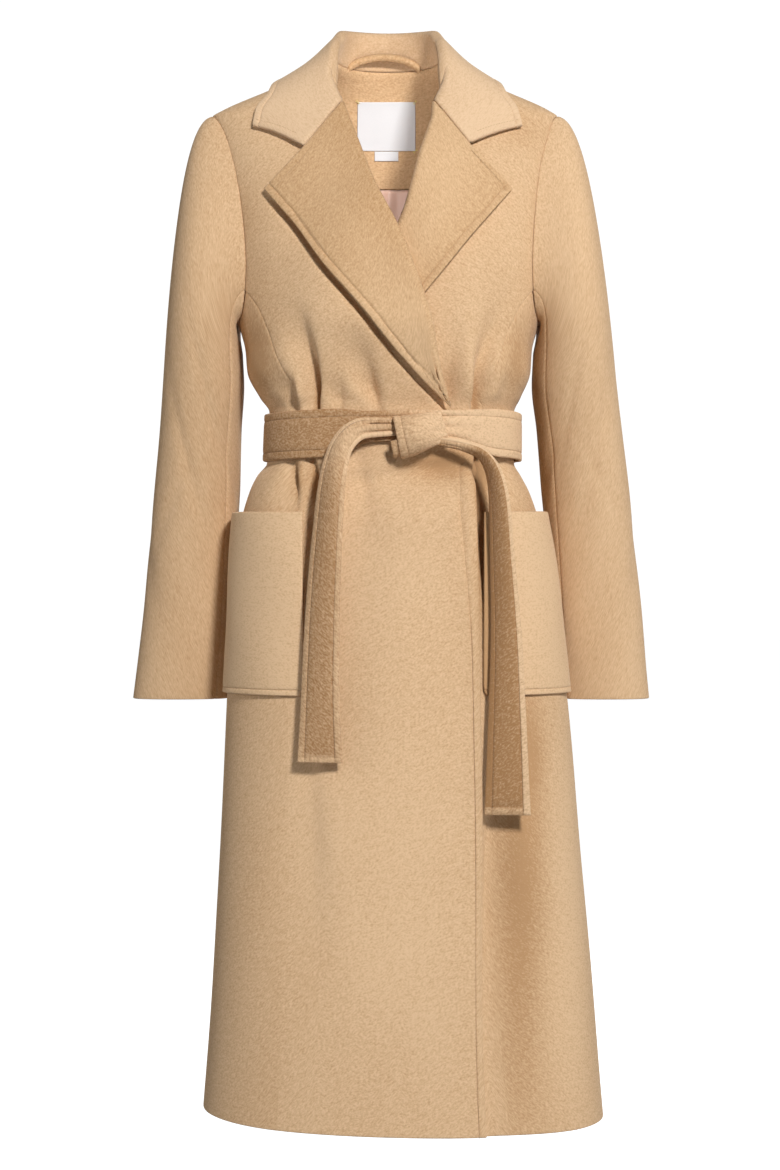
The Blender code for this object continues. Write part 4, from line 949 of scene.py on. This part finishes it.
def collar_middle(station, along):
    """The middle of the collar's cloth: along is 0 to 1 up the stand, 1 to 2 over the fold, 2 to 3 down."""
    station, along = np.broadcast_arrays(station, along)
    side, at = np.where(station < 0, -1.0, 1.0), abs(station)

    def neck_edge(s):
        return bare_body(neck_angle(s), read(COLLAR, "neck_z", abs(s)))
    neck, turn = neck_edge(station), neck_angle(station)
    flat = np.stack([np.sin(turn), -np.cos(turn), 0 * turn], axis=-1)
    lean = np.radians(read(COLLAR, "lean", at))[..., None]
    rise = np.cos(lean) * np.array([0, 0, 1]) + np.sin(lean) * flat
    fold = neck + read(COLLAR, "stand", at)[..., None] * rise
    out = np.cross(rise, neck_edge(station + 0.01) - neck_edge(station - 0.01))
    out = out / np.linalg.norm(out, axis=-1, keepdims=True)
    start, low = neck + NECK_GAP * rise - DOUBLE / 2 * out, fold - FOLD_RADIUS * rise

    def fallen(down, lift):
        notch = np.minimum(down / NOTCH_AT, (1 - down) / (1 - NOTCH_AT)) * ease((at - 0.80) / 0.20)
        z = between(read(COLLAR, "neck_z", at), read(COLLAR, "edge_z", at), down) - notch * NOTCH_DIP
        angle = between(turn, np.radians(read(COLLAR, "edge", at)) * side, down) - notch * NOTCH_SWING * side
        return laid(bare_over, angle, z, (COLLAR_LAY + DOUBLE / 2) * down) + (1 - down)[..., None] * lift
    lift = low + 2 * FOLD_RADIUS * out - neck
    heading = fallen(0.06 + 0 * at, lift) - fallen(0 * at, lift)
    away, sink = np.sum(heading * out, axis=-1), -np.sum(heading * rise, axis=-1)
    whole = (np.pi - np.clip(np.arctan2(away, sink), 0, 1.9))[..., None]
    bend = whole * np.clip(along - 1, 0, 1)[..., None]
    folded = low + FOLD_RADIUS * (np.sin(bend) * rise + (1 - np.cos(bend)) * out)
    stand = between(start, low, np.clip(along, 0, 1)[..., None])
    down = np.clip(along - 2, 0, 1)
    fall = fallen(down, low + FOLD_RADIUS * (np.sin(whole) * rise + (1 - np.cos(whole)) * out) - neck)
    angle, z = np.arctan2(fall[..., 0], -fall[..., 1]), fall[..., 2]
    under, outward = bare_over(angle, z), normals(bare_over, angle, z)
    short = COLLAR_LAY + DOUBLE / 2 - np.sum((fall - under) * outward, axis=-1)
    fall = fall + (np.maximum(short, 0) * ease(-z / 0.010))[..., None] * outward
    return np.where(along[..., None] <= 1, stand, np.where(along[..., None] < 2, folded, fall))


def sewn_to_lapel(end, along, side):
    """How far the collar's end moves to meet the top of the lapel, roll to roll and notch to notch."""
    target, roll = GORGE[side]
    joined = along <= 2 + NOTCH_AT
    here, there = run(end[joined][:, None], 0)[:, 0], run(target[:, None], 0)[:, 0]
    top = np.interp(1.5, along[joined], here)
    outer = there[roll] + (here - top) * (there[-1] - there[roll]) / (here[-1] - top)
    inner = there[roll] - (top - here) * min(1, there[roll] / top)
    at = np.where(here > top, outer, inner)
    move = np.zeros_like(end)
    move[joined] = np.stack([np.interp(at, there, target[:, k]) for k in range(3)], axis=-1) - end[joined]
    free = (along[~joined] - 2 - NOTCH_AT) / (1 - NOTCH_AT)
    move[~joined] = move[joined][-1] * (1 - ease(free))[:, None]
    return move


def make_collar():
    edge = NEAR_STITCH[NEAR_STITCH < 0.013]
    at = np.linspace(-1, 1, 201)
    along = np.concatenate([np.linspace(0, 1, 12), np.linspace(1.08, 1.92, 9), np.linspace(2, 3, 61)])
    dense = collar_middle(*np.meshgrid(at, along))
    fall = along >= 2
    length = run(dense[fall], 0)
    full = length[-1]
    near = edge[::-1, None] + 0 * full
    steps = np.concatenate([between(0, full - near[0], np.linspace(0, 1, 26)[:-1, None]), full - near])
    down = np.array([np.interp(steps[:, j], length[:, j], along[fall]) for j in range(len(at))]).T
    upper = np.repeat(along[~fall][:, None], len(at), axis=1)
    along = np.concatenate([upper, down])
    station = np.repeat(at[None, :], len(along), axis=0)
    middle = collar_middle(station, along)
    for side, end, next_in in ((-1, 0, 6), (1, -1, -7)):
        move = sewn_to_lapel(middle[:, end], along[:, end], side)
        ahead = middle[:, end] - middle[:, next_in]
        ahead = ahead / np.linalg.norm(ahead, axis=-1, keepdims=True)
        ahead = ahead * (along[:, end] <= 2 + NOTCH_AT)[:, None]
        taken = ease((side * at - 0.84) / 0.16)
        middle = middle + (move + PAST * ahead)[:, None] * taken[None, :, None]
    across = run(middle, 1)
    from_end = np.minimum(across, across[:, -1:] - across)
    from_edge = run(middle, 0)[-1:] - run(middle, 0)
    free = ease((along - 2 - NOTCH_AT) / 0.05)
    sewn = stitch_groove(from_edge) + stitch_groove(from_end) * free * (from_edge > STITCH_IN - 0.001)
    outward = -normals_of(middle)
    middle = middle + sewn[..., None] * outward
    nap_and_shading = 0.75 * ease(along - 1.5) + 0.05
    piece = cloth("coat_collar", middle, DOUBLE, COLLAR_WOOL, nap_and_shading=nap_and_shading)
    outer = middle + outward * DOUBLE / 2
    row = len(along) - len(edge) + int(np.argmin(abs(edge[::-1] - STITCH_IN)))
    lines = [outer[row, 6:-6]]
    first = int(np.argmin(abs(across[row] - STITCH_IN)))
    for column in (first, -1 - first):
        lines.append(outer[free[:, column] > 0.9][:, column][: -len(edge) + 9])
    stand = (middle - outward * DOUBLE / 2)[(along[:, 0] <= 1.5)][::-1]
    below = run(stand, 0)
    top_row = [[np.interp(STITCH_IN, below[:, j], stand[:, j, k]) for k in range(3)] for j in STAND_SEWN]
    return piece, lines + [np.array(top_row)]


COLLAR_WOOL = wool("camel_collar", (0.700, 0.495, 0.315), (0.500, 0.310, 0.160), 0.7, 0.0011, 0.20)
collar, lines = make_collar()
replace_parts(collar, "collar")
thread("stitching_collar", lines)

# ---- Inside the neck ------------------------------------------------------------------------------------
# A wool facing across the back of the neck, with a blank woven label tacked to it at its corners, a blank
# size tag under it and a hanger loop in the neck seam. Copper satin lining with a centre pleat hangs below.

FACING_Z, FACING, FACING_DEPTH = -0.1225, 0.0020, CLOTH + 0.0004
LINING, LINING_EASE, PLEAT, PLEAT_WIDTH = 0.0010, 0.0085, 0.0040, 0.0055
LINING_HEM_Z = HEM_Z + 0.030
YARN_DEEP = 0.0002


def inside(z, share, depth, folds=True):
    """A stretch of cloth that hangs this far inside the back, between shares of its half width."""
    return laid(body if folds else bare_body, back_angle(share * half_towards(share, z), z), z, -depth)


def satin(name, lit, deep):
    material, nodes, links, shader = new_material(name)
    flat = nodes.new("ShaderNodeUVMap").outputs[0]
    shift = cloudy(nodes, links, flat, 28, 2, (1, 0.4, 1))
    yarn = cloudy(nodes, links, flat, 2600, 1, (1, 0.15, 1))
    tone = number(nodes, links, "MULTIPLY_ADD", yarn, 0.2, shift)
    links.new(two_tone(nodes, links, tone, deep, lit), shader.inputs["Base Color"])
    raised(nodes, links, yarn, shader, YARN_DEEP, 0.3)
    shader.inputs["Roughness"].default_value = 0.38
    shader.inputs["Sheen Weight"].default_value = 0.3
    return material


def make_facing():
    z = np.concatenate([[0.0022, 0.0012, 0.0], np.linspace(-0.004, -0.118, 34),
                        [-0.1205, -0.1215, FACING_Z]])[:, None]
    share = np.linspace(1, -1, 90)[None, :] * between(0.99, 0.60, (z - z[0]) / (z[-1] - z[0]))
    middle = inside(z + 0 * share, share, FACING_DEPTH + FACING / 2)
    return cloth("neck_facing", middle, FACING, TURNED_WOOL, nap_and_shading=0.15)


def make_lining():
    z = np.concatenate([[FACING_Z - 0.0004], np.linspace(FACING_Z - 0.004, LINING_HEM_Z, 170)])[:, None]
    share = np.linspace(-1, 1, 91)[None, :]
    share = 0.62 * np.sign(share) * abs(share) ** 1.4
    z = z + 0 * share
    half = half_towards(share, z)
    pleat = PLEAT * hump(share * half, PLEAT_WIDTH) * ease((z + 0.45) / 0.30)
    puckers = 0.0006 * np.sin(420 * share * half) * ease((z + 0.16) / 0.035)
    loose = LINING_EASE * ease((FACING_Z - 0.03 - z) / 0.05)
    middle = inside(z, share, FACING_DEPTH + LAY + pleat + puckers + loose + LINING / 2, folds=False)
    lined = satin("copper_satin", (0.96, 0.68, 0.55), (0.84, 0.52, 0.41))
    return cloth("back_satin_lining", middle, LINING, lined)


def woven_white():
    material, nodes, links, shader = new_material("white_woven_tape")
    flat = nodes.new("ShaderNodeUVMap").outputs[0]
    weft = cloudy(nodes, links, flat, 3200, 1, (0.12, 1, 1))
    warp = cloudy(nodes, links, flat, 3200, 1, (1, 0.12, 1))
    tone = number(nodes, links, "MULTIPLY", warp, weft)
    colour = two_tone(nodes, links, tone, (0.66, 0.66, 0.67), (0.74, 0.74, 0.75))
    links.new(colour, shader.inputs["Base Color"])
    raised(nodes, links, weft, shader, YARN_DEEP)
    shader.inputs["Roughness"].default_value = 0.55
    return material


TAPE, TAPE_OFF, TACK_OFF, TACK_REACH = 0.0008, 0.0009, 0.0016, 0.0036


def make_label(name, middle_x, top_z, width, height, material):
    edge = np.array([0, 0.0002, 0.0006, 0.0015])
    across = np.concatenate([edge, np.linspace(0.003, width - 0.003, 26), width - edge[::-1]])
    down = np.concatenate([edge, np.linspace(0.003, height - 0.003, 18), height - edge[::-1]])
    x, z = np.meshgrid(middle_x + width / 2 - across, top_z - down)
    lifted = 0.0003 * np.sin(90 * x) * np.sin(70 * z)
    depth = FACING_DEPTH + FACING + TAPE_OFF + lifted
    middle = laid(body, back_angle(x, z), z, -depth)
    return cloth(name, middle, TAPE, material)


def make_tacks(name, corners_xz):
    """Each corner of the label is held by a few long hand stitches of yellow thread."""
    lines = []
    for x, z in corners_xz:
        for tilt in (-0.5, 0.0, 0.45):
            reach = np.linspace(-TACK_REACH, TACK_REACH, 4)
            px, pz = x + reach * np.cos(0.8 + tilt), z + reach * np.sin(0.8 + tilt) * np.sign(x + 0.002)
            lines.append(laid(body, back_angle(px, pz), pz, -(FACING_DEPTH + FACING + TACK_OFF)))
    yellow, _, _, shader = new_material("yellow_tack_thread")
    shader.inputs["Base Color"].default_value = (0.85, 0.72, 0.25, 1)
    thread(name, lines, yellow)


LOOP_WIDE, LOOP_THICK, LOOP_RISE, LOOP_FLOP = 0.0074, 0.0034, 0.0155, 0.0115


def make_hanger_loop():
    """A strip of wool folded in four, its ends sewn into the neck seam, which flops forward between them."""
    share = np.concatenate([[0, 0.01, 0.02], np.linspace(0.035, 0.965, 50), [0.98, 0.99, 1.0]])[None, :]
    across = np.linspace(-1, 1, 13)[:, None]
    x = between(0.0355, -0.0440, share)
    arch = np.sin(np.pi * share) ** 0.6
    z = 0.0010 + LOOP_RISE * arch - LOOP_WIDE / 2 * across
    base = bare_body(back_angle(x, 0 * x), 0 * x)[..., 1]
    y = base - DOUBLE - 0.0022 - LOOP_FLOP * arch + 0.0040 * across ** 2
    middle = np.stack([x + 0 * across, y, z], axis=-1)
    return cloth("neck_hanger_loop", middle, LOOP_THICK, TURNED_WOOL, nap_and_shading=-0.2)


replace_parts(make_facing(), "back_neck_facing")
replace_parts(make_lining(), "back_lining")
tape = woven_white()
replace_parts(make_label("blank_neck_label", -0.002, -0.0265, 0.066, 0.053, tape), "label")
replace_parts(make_label("blank_size_tag", -0.002, -0.0800, 0.027, 0.0105, tape), "size_tag")
make_tacks("label_tacks", [(x, z) for x in (-0.0350, 0.0310) for z in (-0.0265, -0.0795)])
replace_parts(make_hanger_loop(), "hanger_loop")

# ---- The patch pockets ----------------------------------------------------------------------------------
# Lined patches sewn on over the princess seams. The mouth is folded over and stands a little off the coat;
# the turned edge at the foot is stitched 6 mm in.

POCKET_TOP_Z, POCKET_BOTTOM_Z, POCKET_WIDTH = -0.494, -0.686, 0.160
POCKET_EDGE = {-1: 0.085, 1: 0.0985}
POCKET_CLOTH, POCKET_STAND, POCKET_HEM, POCKET_CORNER = 0.0034, 0.0095, 0.006, 0.012
POCKET_GROOVE, POCKET_GROOVE_WIDE = 0.0009, 0.0010
SHADED = 2.2  # how much darker the strip of the left pocket under the belt's end is painted: painted shade
# How far up from the foot a pocket's last rows are. The stitches lie in the eighth of them.
POCKET_FOOT = np.array([0, 0.0005, 0.0011, 0.0017, 0.0028, 0.0042, 0.0052, 0.0060, 0.0068, 0.0078,
                        0.0100, 0.0130])


def make_pocket(name, side):
    surface = bare_over if side < 0 else bare_body
    near = np.array([0, 0.0005, 0.0011, 0.0017, 0.0030, 0.0060])
    across = np.concatenate([near, np.linspace(0.009, POCKET_WIDTH - 0.009, 36), POCKET_WIDTH - near[::-1]])
    height = POCKET_TOP_Z - POCKET_BOTTOM_Z
    down = np.concatenate([near, np.linspace(0.010, height - 0.017, 34), height - POCKET_FOOT[::-1]])
    rows = []
    for d in down:
        lift = max(0.0, d - (height - POCKET_CORNER)) / POCKET_CORNER
        inset = POCKET_CORNER * (1 - np.sqrt(max(0.0, 1 - lift ** 2))) * 0.45
        z = POCKET_TOP_Z - d
        start = float(angle_at(side * POCKET_EDGE[side], np.array(z), 1))
        sweep = np.linspace(0, 1.9, 400) * side + start
        length = run(surface(sweep, z + 0 * sweep)[:, None], 0)[:, 0]
        at = inset + across * (1 - 2 * inset / POCKET_WIDTH)
        rows.append(np.interp(at, length, sweep))
    angle = np.array(rows)
    z = np.repeat(POCKET_TOP_Z - down[:, None], len(across), axis=1)
    share, fall = across[None, :] / POCKET_WIDTH, down[:, None] / height
    lift = LAY + POCKET_STAND * (1 - fall) ** 1.3 * np.sin(np.pi * (0.06 + 0.90 * share)) ** 0.7
    from_foot = height - down[:, None]
    sewn = -POCKET_GROOVE * hump(from_foot - POCKET_HEM, POCKET_GROOVE_WIDE) + 0 * lift
    soft = 0.0006 * np.sin(9 * share + 3 * fall) * np.sin(5 * fall)
    middle = laid(surface, angle, z, lift + POCKET_CLOTH / 2 + sewn + soft)
    # Painted light and painted shade: the pockets are painted lighter than the fronts, and the left one
    # darker on its strip under the belt's end.
    nap_and_shading = 0.85 - SHADED * ease((0.012 - across) / 0.006) * (side > 0) + 0 * lift
    piece = cloth(name, middle, POCKET_CLOTH, COAT_WOOL, nap_and_shading=nap_and_shading)
    line = laid(surface, angle, z, lift + POCKET_CLOTH + sewn + soft)
    return piece, line[-8, 4:-4]


for whose, side in (("right", -1), ("left", 1)):
    pocket, line = make_pocket("coat_pocket_" + whose, side)
    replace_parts(pocket, "pocket_" + whose)
    thread("stitching_pocket_" + whose, [line])

# ---- The belt -------------------------------------------------------------------------------------------
# One long strip of doubled wool, 5 cm wide, edge-stitched all round. It goes once round the waist, is knotted
# left of centre, and its two ends hang down in front.

# Its deep colour is darker than the coat's: on the hanging ends it gives painted shade where they turn from
# the light, along with their reversed nap.
BELT_WOOL = wool("camel_belt", (0.705, 0.490, 0.300), (0.335, 0.180, 0.078), 0.75, 0.0011, 0.18)
BELT_IN, BELT_GROOVE = 0.0085, 0.0010
KNOT_X, KNOT_SLANT, KNOT_STAND, KNOT_SEWN = (0.0090, 0.0600), 0.0042, 0.0215, 0.165
UNDER_TURN_X, UNDER_TURN_STAND = (0.0015, 0.0300), 0.0150
# How far in from its edges the first columns of the band and of a hanging end are.
BAND_EDGE = np.array([0, 0.0004, 0.0010, 0.0016, 0.0024, 0.0040, 0.0060, 0.0072, 0.0079, 0.0085, 0.0091,
                      0.0100, 0.0130])
TAIL_EDGE = np.array([0, 0.0004, 0.0010, 0.0016, 0.0026, 0.0045, 0.0065, 0.0076, 0.0085, 0.0094, 0.0110,
                      0.0150])
# The middle of each hanging end from the knot down: place, how far its inner face stands off the coat, how
# wide it looks, and how much further forward its left edge hangs than its middle.
TAIL_RIGHT = named("step x z stand wide tilt", [
    (0.0, 0.0140, -0.4040, 0.0057, 0.017, 0.000), (1.0, -0.0250, -0.4062, 0.0095, 0.021, 0.002),
    (2.0, -0.0470, -0.4235, 0.0170, 0.023, 0.005), (3.0, -0.0570, -0.4590, 0.0215, 0.027, 0.009),
    (4.0, -0.0628, -0.5220, 0.0210, 0.031, 0.010), (5.0, -0.0678, -0.6080, 0.0180, 0.036, 0.009),
    (6.0, -0.0700, -0.6890, 0.0150, 0.040, 0.007), (7.0, -0.0705, -0.7540, 0.0120, 0.047, 0.004),
])
TAIL_LEFT = named("step x z stand wide tilt", [
    (0.0, 0.0470, -0.4190, 0.0057, 0.008, 0.000), (1.0, 0.0770, -0.4245, 0.0180, 0.009, 0.003),
    (2.0, 0.0985, -0.4335, 0.0270, 0.010, 0.007), (3.0, 0.1105, -0.4520, 0.0320, 0.0145, 0.011),
    (4.0, 0.1160, -0.4800, 0.0320, 0.0190, 0.012), (5.0, 0.1195, -0.5443, 0.0265, 0.0240, 0.010),
    (6.0, 0.1235, -0.6500, 0.0200, 0.033, 0.006), (7.0, 0.1240, -0.8090, 0.0140, 0.048, 0.002),
])
# How the band is drawn together where it goes through the knot: from, full, full, to, along its length.
DRAWN, DRAWN_UP, DRAWN_DOWN = (-0.060, -0.015, 0.058, 0.118), 0.0150, 0.0040
CREASE_DEEP, CREASED_X, CREASED_WIDE = 0.0013, 0.036, 0.050


def drawn(x):
    """How far the band is drawn together at this x: 0 is not at all, and 1 is in full, as in the knot."""
    return ease((x - DRAWN[0]) / (DRAWN[1] - DRAWN[0])) * ease((DRAWN[3] - x) / (DRAWN[3] - DRAWN[2]))


def belt_groove(near):
    return -BELT_GROOVE * hump(near - BELT_IN, GROOVE_WIDE)


def make_band():
    angle = np.linspace(-np.pi, np.pi, 361)[None, :]
    wide = BELT_TOP_Z - BELT_BOTTOM_Z
    down = np.concatenate([BAND_EDGE, np.linspace(0.017, wide - 0.017, 7), wide - BAND_EDGE[::-1]])[:, None]
    z = BELT_TOP_Z - down + 0 * angle
    angle = angle + 0 * z
    x = bare_over(angle, z)[..., 0]
    front = np.cos(angle) > 0
    gathered = np.where(front, drawn(x), 0)
    fan = 2 * np.pi * 3.2 * down / wide + 9 * (x - 0.03)
    creases = CREASE_DEEP * hump(x - CREASED_X, CREASED_WIDE) * gathered * np.sin(fan)
    sewn = belt_groove(down) + belt_groove(wide - down) + 0 * z
    settled = laid(bare_over, angle, z, LAY + DOUBLE / 2 + sewn + creases + 0.0020 * gathered)
    settled[..., 2] += np.where(front, 0.0020 * np.sin(14 * x + 0.8) * ease(np.cos(angle) / 0.5), 0)
    settled[..., 2] += gathered * between(-DRAWN_DOWN, DRAWN_UP, down / wide)
    # Painted shade and painted light: the band's front is dark on the right front's side of the knot and
    # light on the left front's side; the back is a little darker.
    nap_and_shading = np.where(front, -0.60 + 1.45 * ease((x + 0.02) / 0.09), -0.2)
    piece = cloth("belt_wrap", settled, DOUBLE, BELT_WOOL, nap_and_shading=nap_and_shading,
                  ring=True, round_over="cd")
    outward = normals(bare_over, angle, z)
    outer = settled + outward * DOUBLE / 2
    clear = (x[0] < -0.005) | (x[0] > 0.064) | ~front[0]
    left_of_knot = np.arange(angle.shape[1]) >= 200
    runs = [np.nonzero(clear & ~left_of_knot)[0], np.nonzero(clear & left_of_knot)[0]]
    return piece, [outer[row, k] for row in (9, len(down) - 10) for k in runs]


BOWED = 0.55  # the share of a plain arc's height that an end bows out


def make_tail(name, table, nap_and_shading, gather, lit_to, painted_edge_light):
    """A hanging belt end. Where it looks narrower than it is, it turns away and bows across its width.

    Its tone is painted light down to step lit_to and then comes to the value given for the end: for both ends
    a dark one, painted shade where the end turns from the light as well as its reversed nap. The two edge
    values say how much lighter or darker, as painted light and shade, the turned cloth outside the stitches
    is at its edges, and gather how deep it is puckered where it leaves the knot.
    """
    wide_full = BELT_TOP_Z - BELT_BOTTOM_Z
    step = np.concatenate([np.linspace(0, 6.93, 150),
                           [6.945, 6.955, 6.963, 6.972, 6.985, 6.992, 6.997, 7.0]])
    x, z = read(table, "x", step), read(table, "z", step)
    heading = np.stack([np.gradient(x, step), np.gradient(z, step)], axis=-1)
    heading = heading / np.linalg.norm(heading, axis=-1, keepdims=True)
    inner = np.linspace(0.019, wide_full - 0.019, 5)
    cut = np.concatenate([TAIL_EDGE, inner, wide_full - TAIL_EDGE[::-1]])
    across = (2 * cut / wide_full - 1)[None, :]
    wide = read(table, "wide", step)[:, None]
    grid_x = x[:, None] - across * wide / 2 * heading[:, 1:]
    grid_z = z[:, None] + across * wide / 2 * heading[:, :1]
    grown = ease(step[:, None] / 2)
    lean = read(table, "tilt", step)[:, None]
    chord = np.hypot(wide, 2 * lean)
    longer = np.clip(wide_full * 0.94 / chord - 1, 0, 1)
    bow = chord * np.sqrt(0.375 * longer) * BOWED * grown
    tight = ease(1 - step[:, None] / 2.4)
    ripple = gather * np.sin(np.pi * 2.6 * across + 1.0) * tight * ease((across + 1.1) / 0.9)
    from_end = run(np.stack([grid_x, grid_z], axis=-1), 0)
    from_end = from_end[-1:] - from_end
    aside = np.minimum(cut, wide_full - cut)[None, :]
    sewn = belt_groove(aside) + belt_groove(from_end) * (aside > BELT_IN - 0.001)
    stand = read(table, "stand", step)[:, None] + bow * (1 - across ** 2) + ripple + lean * across
    sway = 0.0006 * np.sin(2.1 * step[:, None] + 1.3 * across)
    # Painted light and painted shade: light near the knot, darker on the inner half just below it, lighter or
    # darker on the turned edges, lighter at the foot.
    lie_and_shading = between(0.35, nap_and_shading, ease((step - lit_to) / (1.4 * lit_to)))[:, None]
    painted_edges = ease((BELT_IN - aside) / 0.0020) * np.where(across > 0, painted_edge_light[1], painted_edge_light[0])
    painted_foot = 0.8 * ease((BELT_IN - from_end) / 0.0020)
    lie_and_shading = lie_and_shading - 0.8 * tight * ease(0.5 - across) + np.where(painted_foot > 0, np.maximum(painted_edges, painted_foot), painted_edges)
    coat_y = bare_over(angle_at(x, z, 1), z)[:, 1:2]
    middle = np.stack([grid_x, coat_y - stand - DOUBLE / 2 - sewn - sway, grid_z], axis=-1)
    outward = normals_of(middle)
    outward = -outward * np.sign(outward[..., 1:2])
    outward = outward / np.linalg.norm(outward, axis=-1, keepdims=True)
    piece = cloth(name, middle, DOUBLE, BELT_WOOL,
                  nap_and_shading=lie_and_shading)
    outer = middle + outward * DOUBLE / 2
    last = int(np.argmin(abs(from_end[:, 14] - BELT_IN)))
    return piece, [outer[6:last, 8], outer[6:last, -9], outer[last, 8:-8]]


def knot_turn(name, ends, turn, crown, over_edge, nap_and_shading):
    """A turn of belt round the drawn-in band. Turn has its rows' angles in degrees, 0 being straight ahead.

    Its open end stands off the band by crown, and its other end sinks into it.
    """
    share = np.concatenate([[0, 0.008, 0.02, 0.035, 0.06, 0.10, 0.14, 0.155, 0.165, 0.175, 0.19],
                            np.linspace(0.22, 0.95, 34), [0.975, 0.99, 1.0]])[None, :]
    turn = np.radians(turn)[:, None]
    x = between(ends[0], ends[1], share) + KNOT_SLANT * np.sin(turn)
    middle_z = between(-0.4158, -0.4050, ease(share))
    height = between(0.0226, 0.0160, ease(share)) + over_edge
    flat = -bare_over(angle_at(x, middle_z + 0 * x, 1), middle_z + 0 * x)[..., 1] + LAY + DOUBLE + 0.0035
    stand = crown * (1 - 0.25 * (2 * share - 1) ** 2) * between(1, 0.32, ease((share - 0.35) / 0.65))
    creases = 0.0006 * np.sin(9 * turn + 3 * share) * ease((share - 0.45) / 0.4)
    grow = creases - BELT_GROOVE * hump(share - KNOT_SEWN, 0.022) - DOUBLE / 2
    z = middle_z - (height + grow) * np.sin(turn)
    y = -(flat + np.clip((stand + grow) * abs(np.cos(turn)) ** 0.8 * np.sign(np.cos(turn)), -0.003, 1))
    middle = np.stack([x, y, z], axis=-1)
    # Painted light: each turn gets lighter towards its end on the left front's side, as the band there does.
    piece = cloth(name, middle, DOUBLE, BELT_WOOL,
                  nap_and_shading=nap_and_shading + 0.5 * ease((share - 0.3) / 0.5) + 0 * turn)
    outward = np.stack([0 * x, -np.cos(turn) + 0 * x, -np.sin(turn) + 0 * x], axis=-1)
    return piece, (middle + outward * DOUBLE / 2)[4:-4, 8]


band, lines = make_band()
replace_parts(band, "belt_band")
knot, knot_line = knot_turn("belt_knot_turn", KNOT_X, np.linspace(-100, 100, 61), KNOT_STAND, 0, 0.15)
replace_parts(knot, "belt_knot")
under_turn, _ = knot_turn("belt_knot_under_turn", UNDER_TURN_X, np.linspace(12, 100, 33), UNDER_TURN_STAND,
                          -0.0008, -0.1)
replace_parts(under_turn, "belt_knot")
tail_right, right_lines = make_tail("belt_end_right", TAIL_RIGHT, -0.55, 0.0026, 1.5, (0.5, 0.6))
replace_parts(tail_right, "belt_tail_right")
tail_left, left_lines = make_tail("belt_end_left", TAIL_LEFT, -0.85, 0.0008, 0.8, (-0.3, 1.5))
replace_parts(tail_left, "belt_tail_left")
thread("stitching_belt", lines + [knot_line] + right_lines + left_lines)

# ---- The room -------------------------------------------------------------------------------------------
# A plain pale floor at the height of a wearer's feet, a soft light from the front and above, weaker ones from
# both sides and behind, a small one inside the neck, and a camera level with the thighs, straight in front.

FLOOR_Z = -1.45


def make_floor():
    bpy.ops.object.select_all(action="DESELECT")
    bpy.ops.mesh.primitive_circle_add(vertices=96, radius=40, fill_type="NGON", location=(0, 0, FLOOR_Z))
    floor = bpy.context.object
    floor.name = "studio_floor"
    material, nodes, links, shader = new_material("pale_floor")
    shader.inputs["Base Color"].default_value = (0.45, 0.45, 0.45, 1)
    shader.inputs["Roughness"].default_value = 0.9
    shader.inputs["Emission Color"].default_value = (1, 1, 1, 1)
    seen = nodes.new("ShaderNodeLightPath")
    lift = number(nodes, links, "MULTIPLY", seen.outputs["Is Camera Ray"], 1.0)
    links.new(lift, shader.inputs["Emission Strength"])
    floor.data.materials.append(material)


def make_sky(fill, seen_white):
    """White all round: softly for the light it gives, and brighter where it is looked at."""
    world = bpy.data.worlds.new("studio")
    bpy.context.scene.world = world
    world.use_nodes = True
    nodes, links = world.node_tree.nodes, world.node_tree.links
    background = nodes["Background"]
    background.inputs["Color"].default_value = (1, 1, 1, 1)
    seen = nodes.new("ShaderNodeLightPath")
    strength = number(nodes, links, "MULTIPLY_ADD", seen.outputs["Is Camera Ray"], seen_white - fill, fill)
    links.new(strength, background.inputs["Strength"])


def make_light(name, place, aim, size, power):
    """A soft rectangle of light of this size, turned to shine from its place at its aim, in watts."""
    bpy.ops.object.light_add(type="AREA", location=place)
    light = bpy.context.object
    light.name = name
    light.data.shape = "RECTANGLE"
    light.data.size, light.data.size_y = size
    light.data.energy = power
    toward = np.array(aim) - np.array(place)
    raise_by = np.arctan2(toward[2], np.hypot(toward[0], toward[1]))
    light.rotation_euler = (np.pi / 2 + raise_by, 0, np.arctan2(-toward[0], toward[1]))
    light.visible_camera = False


def make_camera():
    bpy.ops.object.camera_add(location=(0.002, -2.70, -0.570), rotation=(np.pi / 2, 0, 0))
    camera = bpy.context.object
    camera.name = "camera"
    camera.data.sensor_width = 36
    camera.data.lens = 76.2
    bpy.context.scene.camera = camera


make_floor()
make_sky(fill=0.03, seen_white=1.05)
make_light("key_light", (1.20, -3.6, 1.50), (0, 0, -0.5), (0.55, 0.65), 177)
make_light("left_light", (-3.1, -1.3, 0.2), (0, 0, -0.6), (1.2, 2.2), 29)
make_light("right_light", (3.0, -0.6, 0.2), (0, 0, -0.6), (1.2, 2.2), 21)
make_light("back_light", (0.3, 3.2, 0.8), (0, 0, -0.5), (2.0, 2.0), 46)
make_light("neck_light", (-0.002, -0.030, -0.095), (-0.002, 0.10, -0.105), (0.05, 0.20), 0.105)
make_camera()
bpy.context.scene.view_settings.view_transform = "Standard"
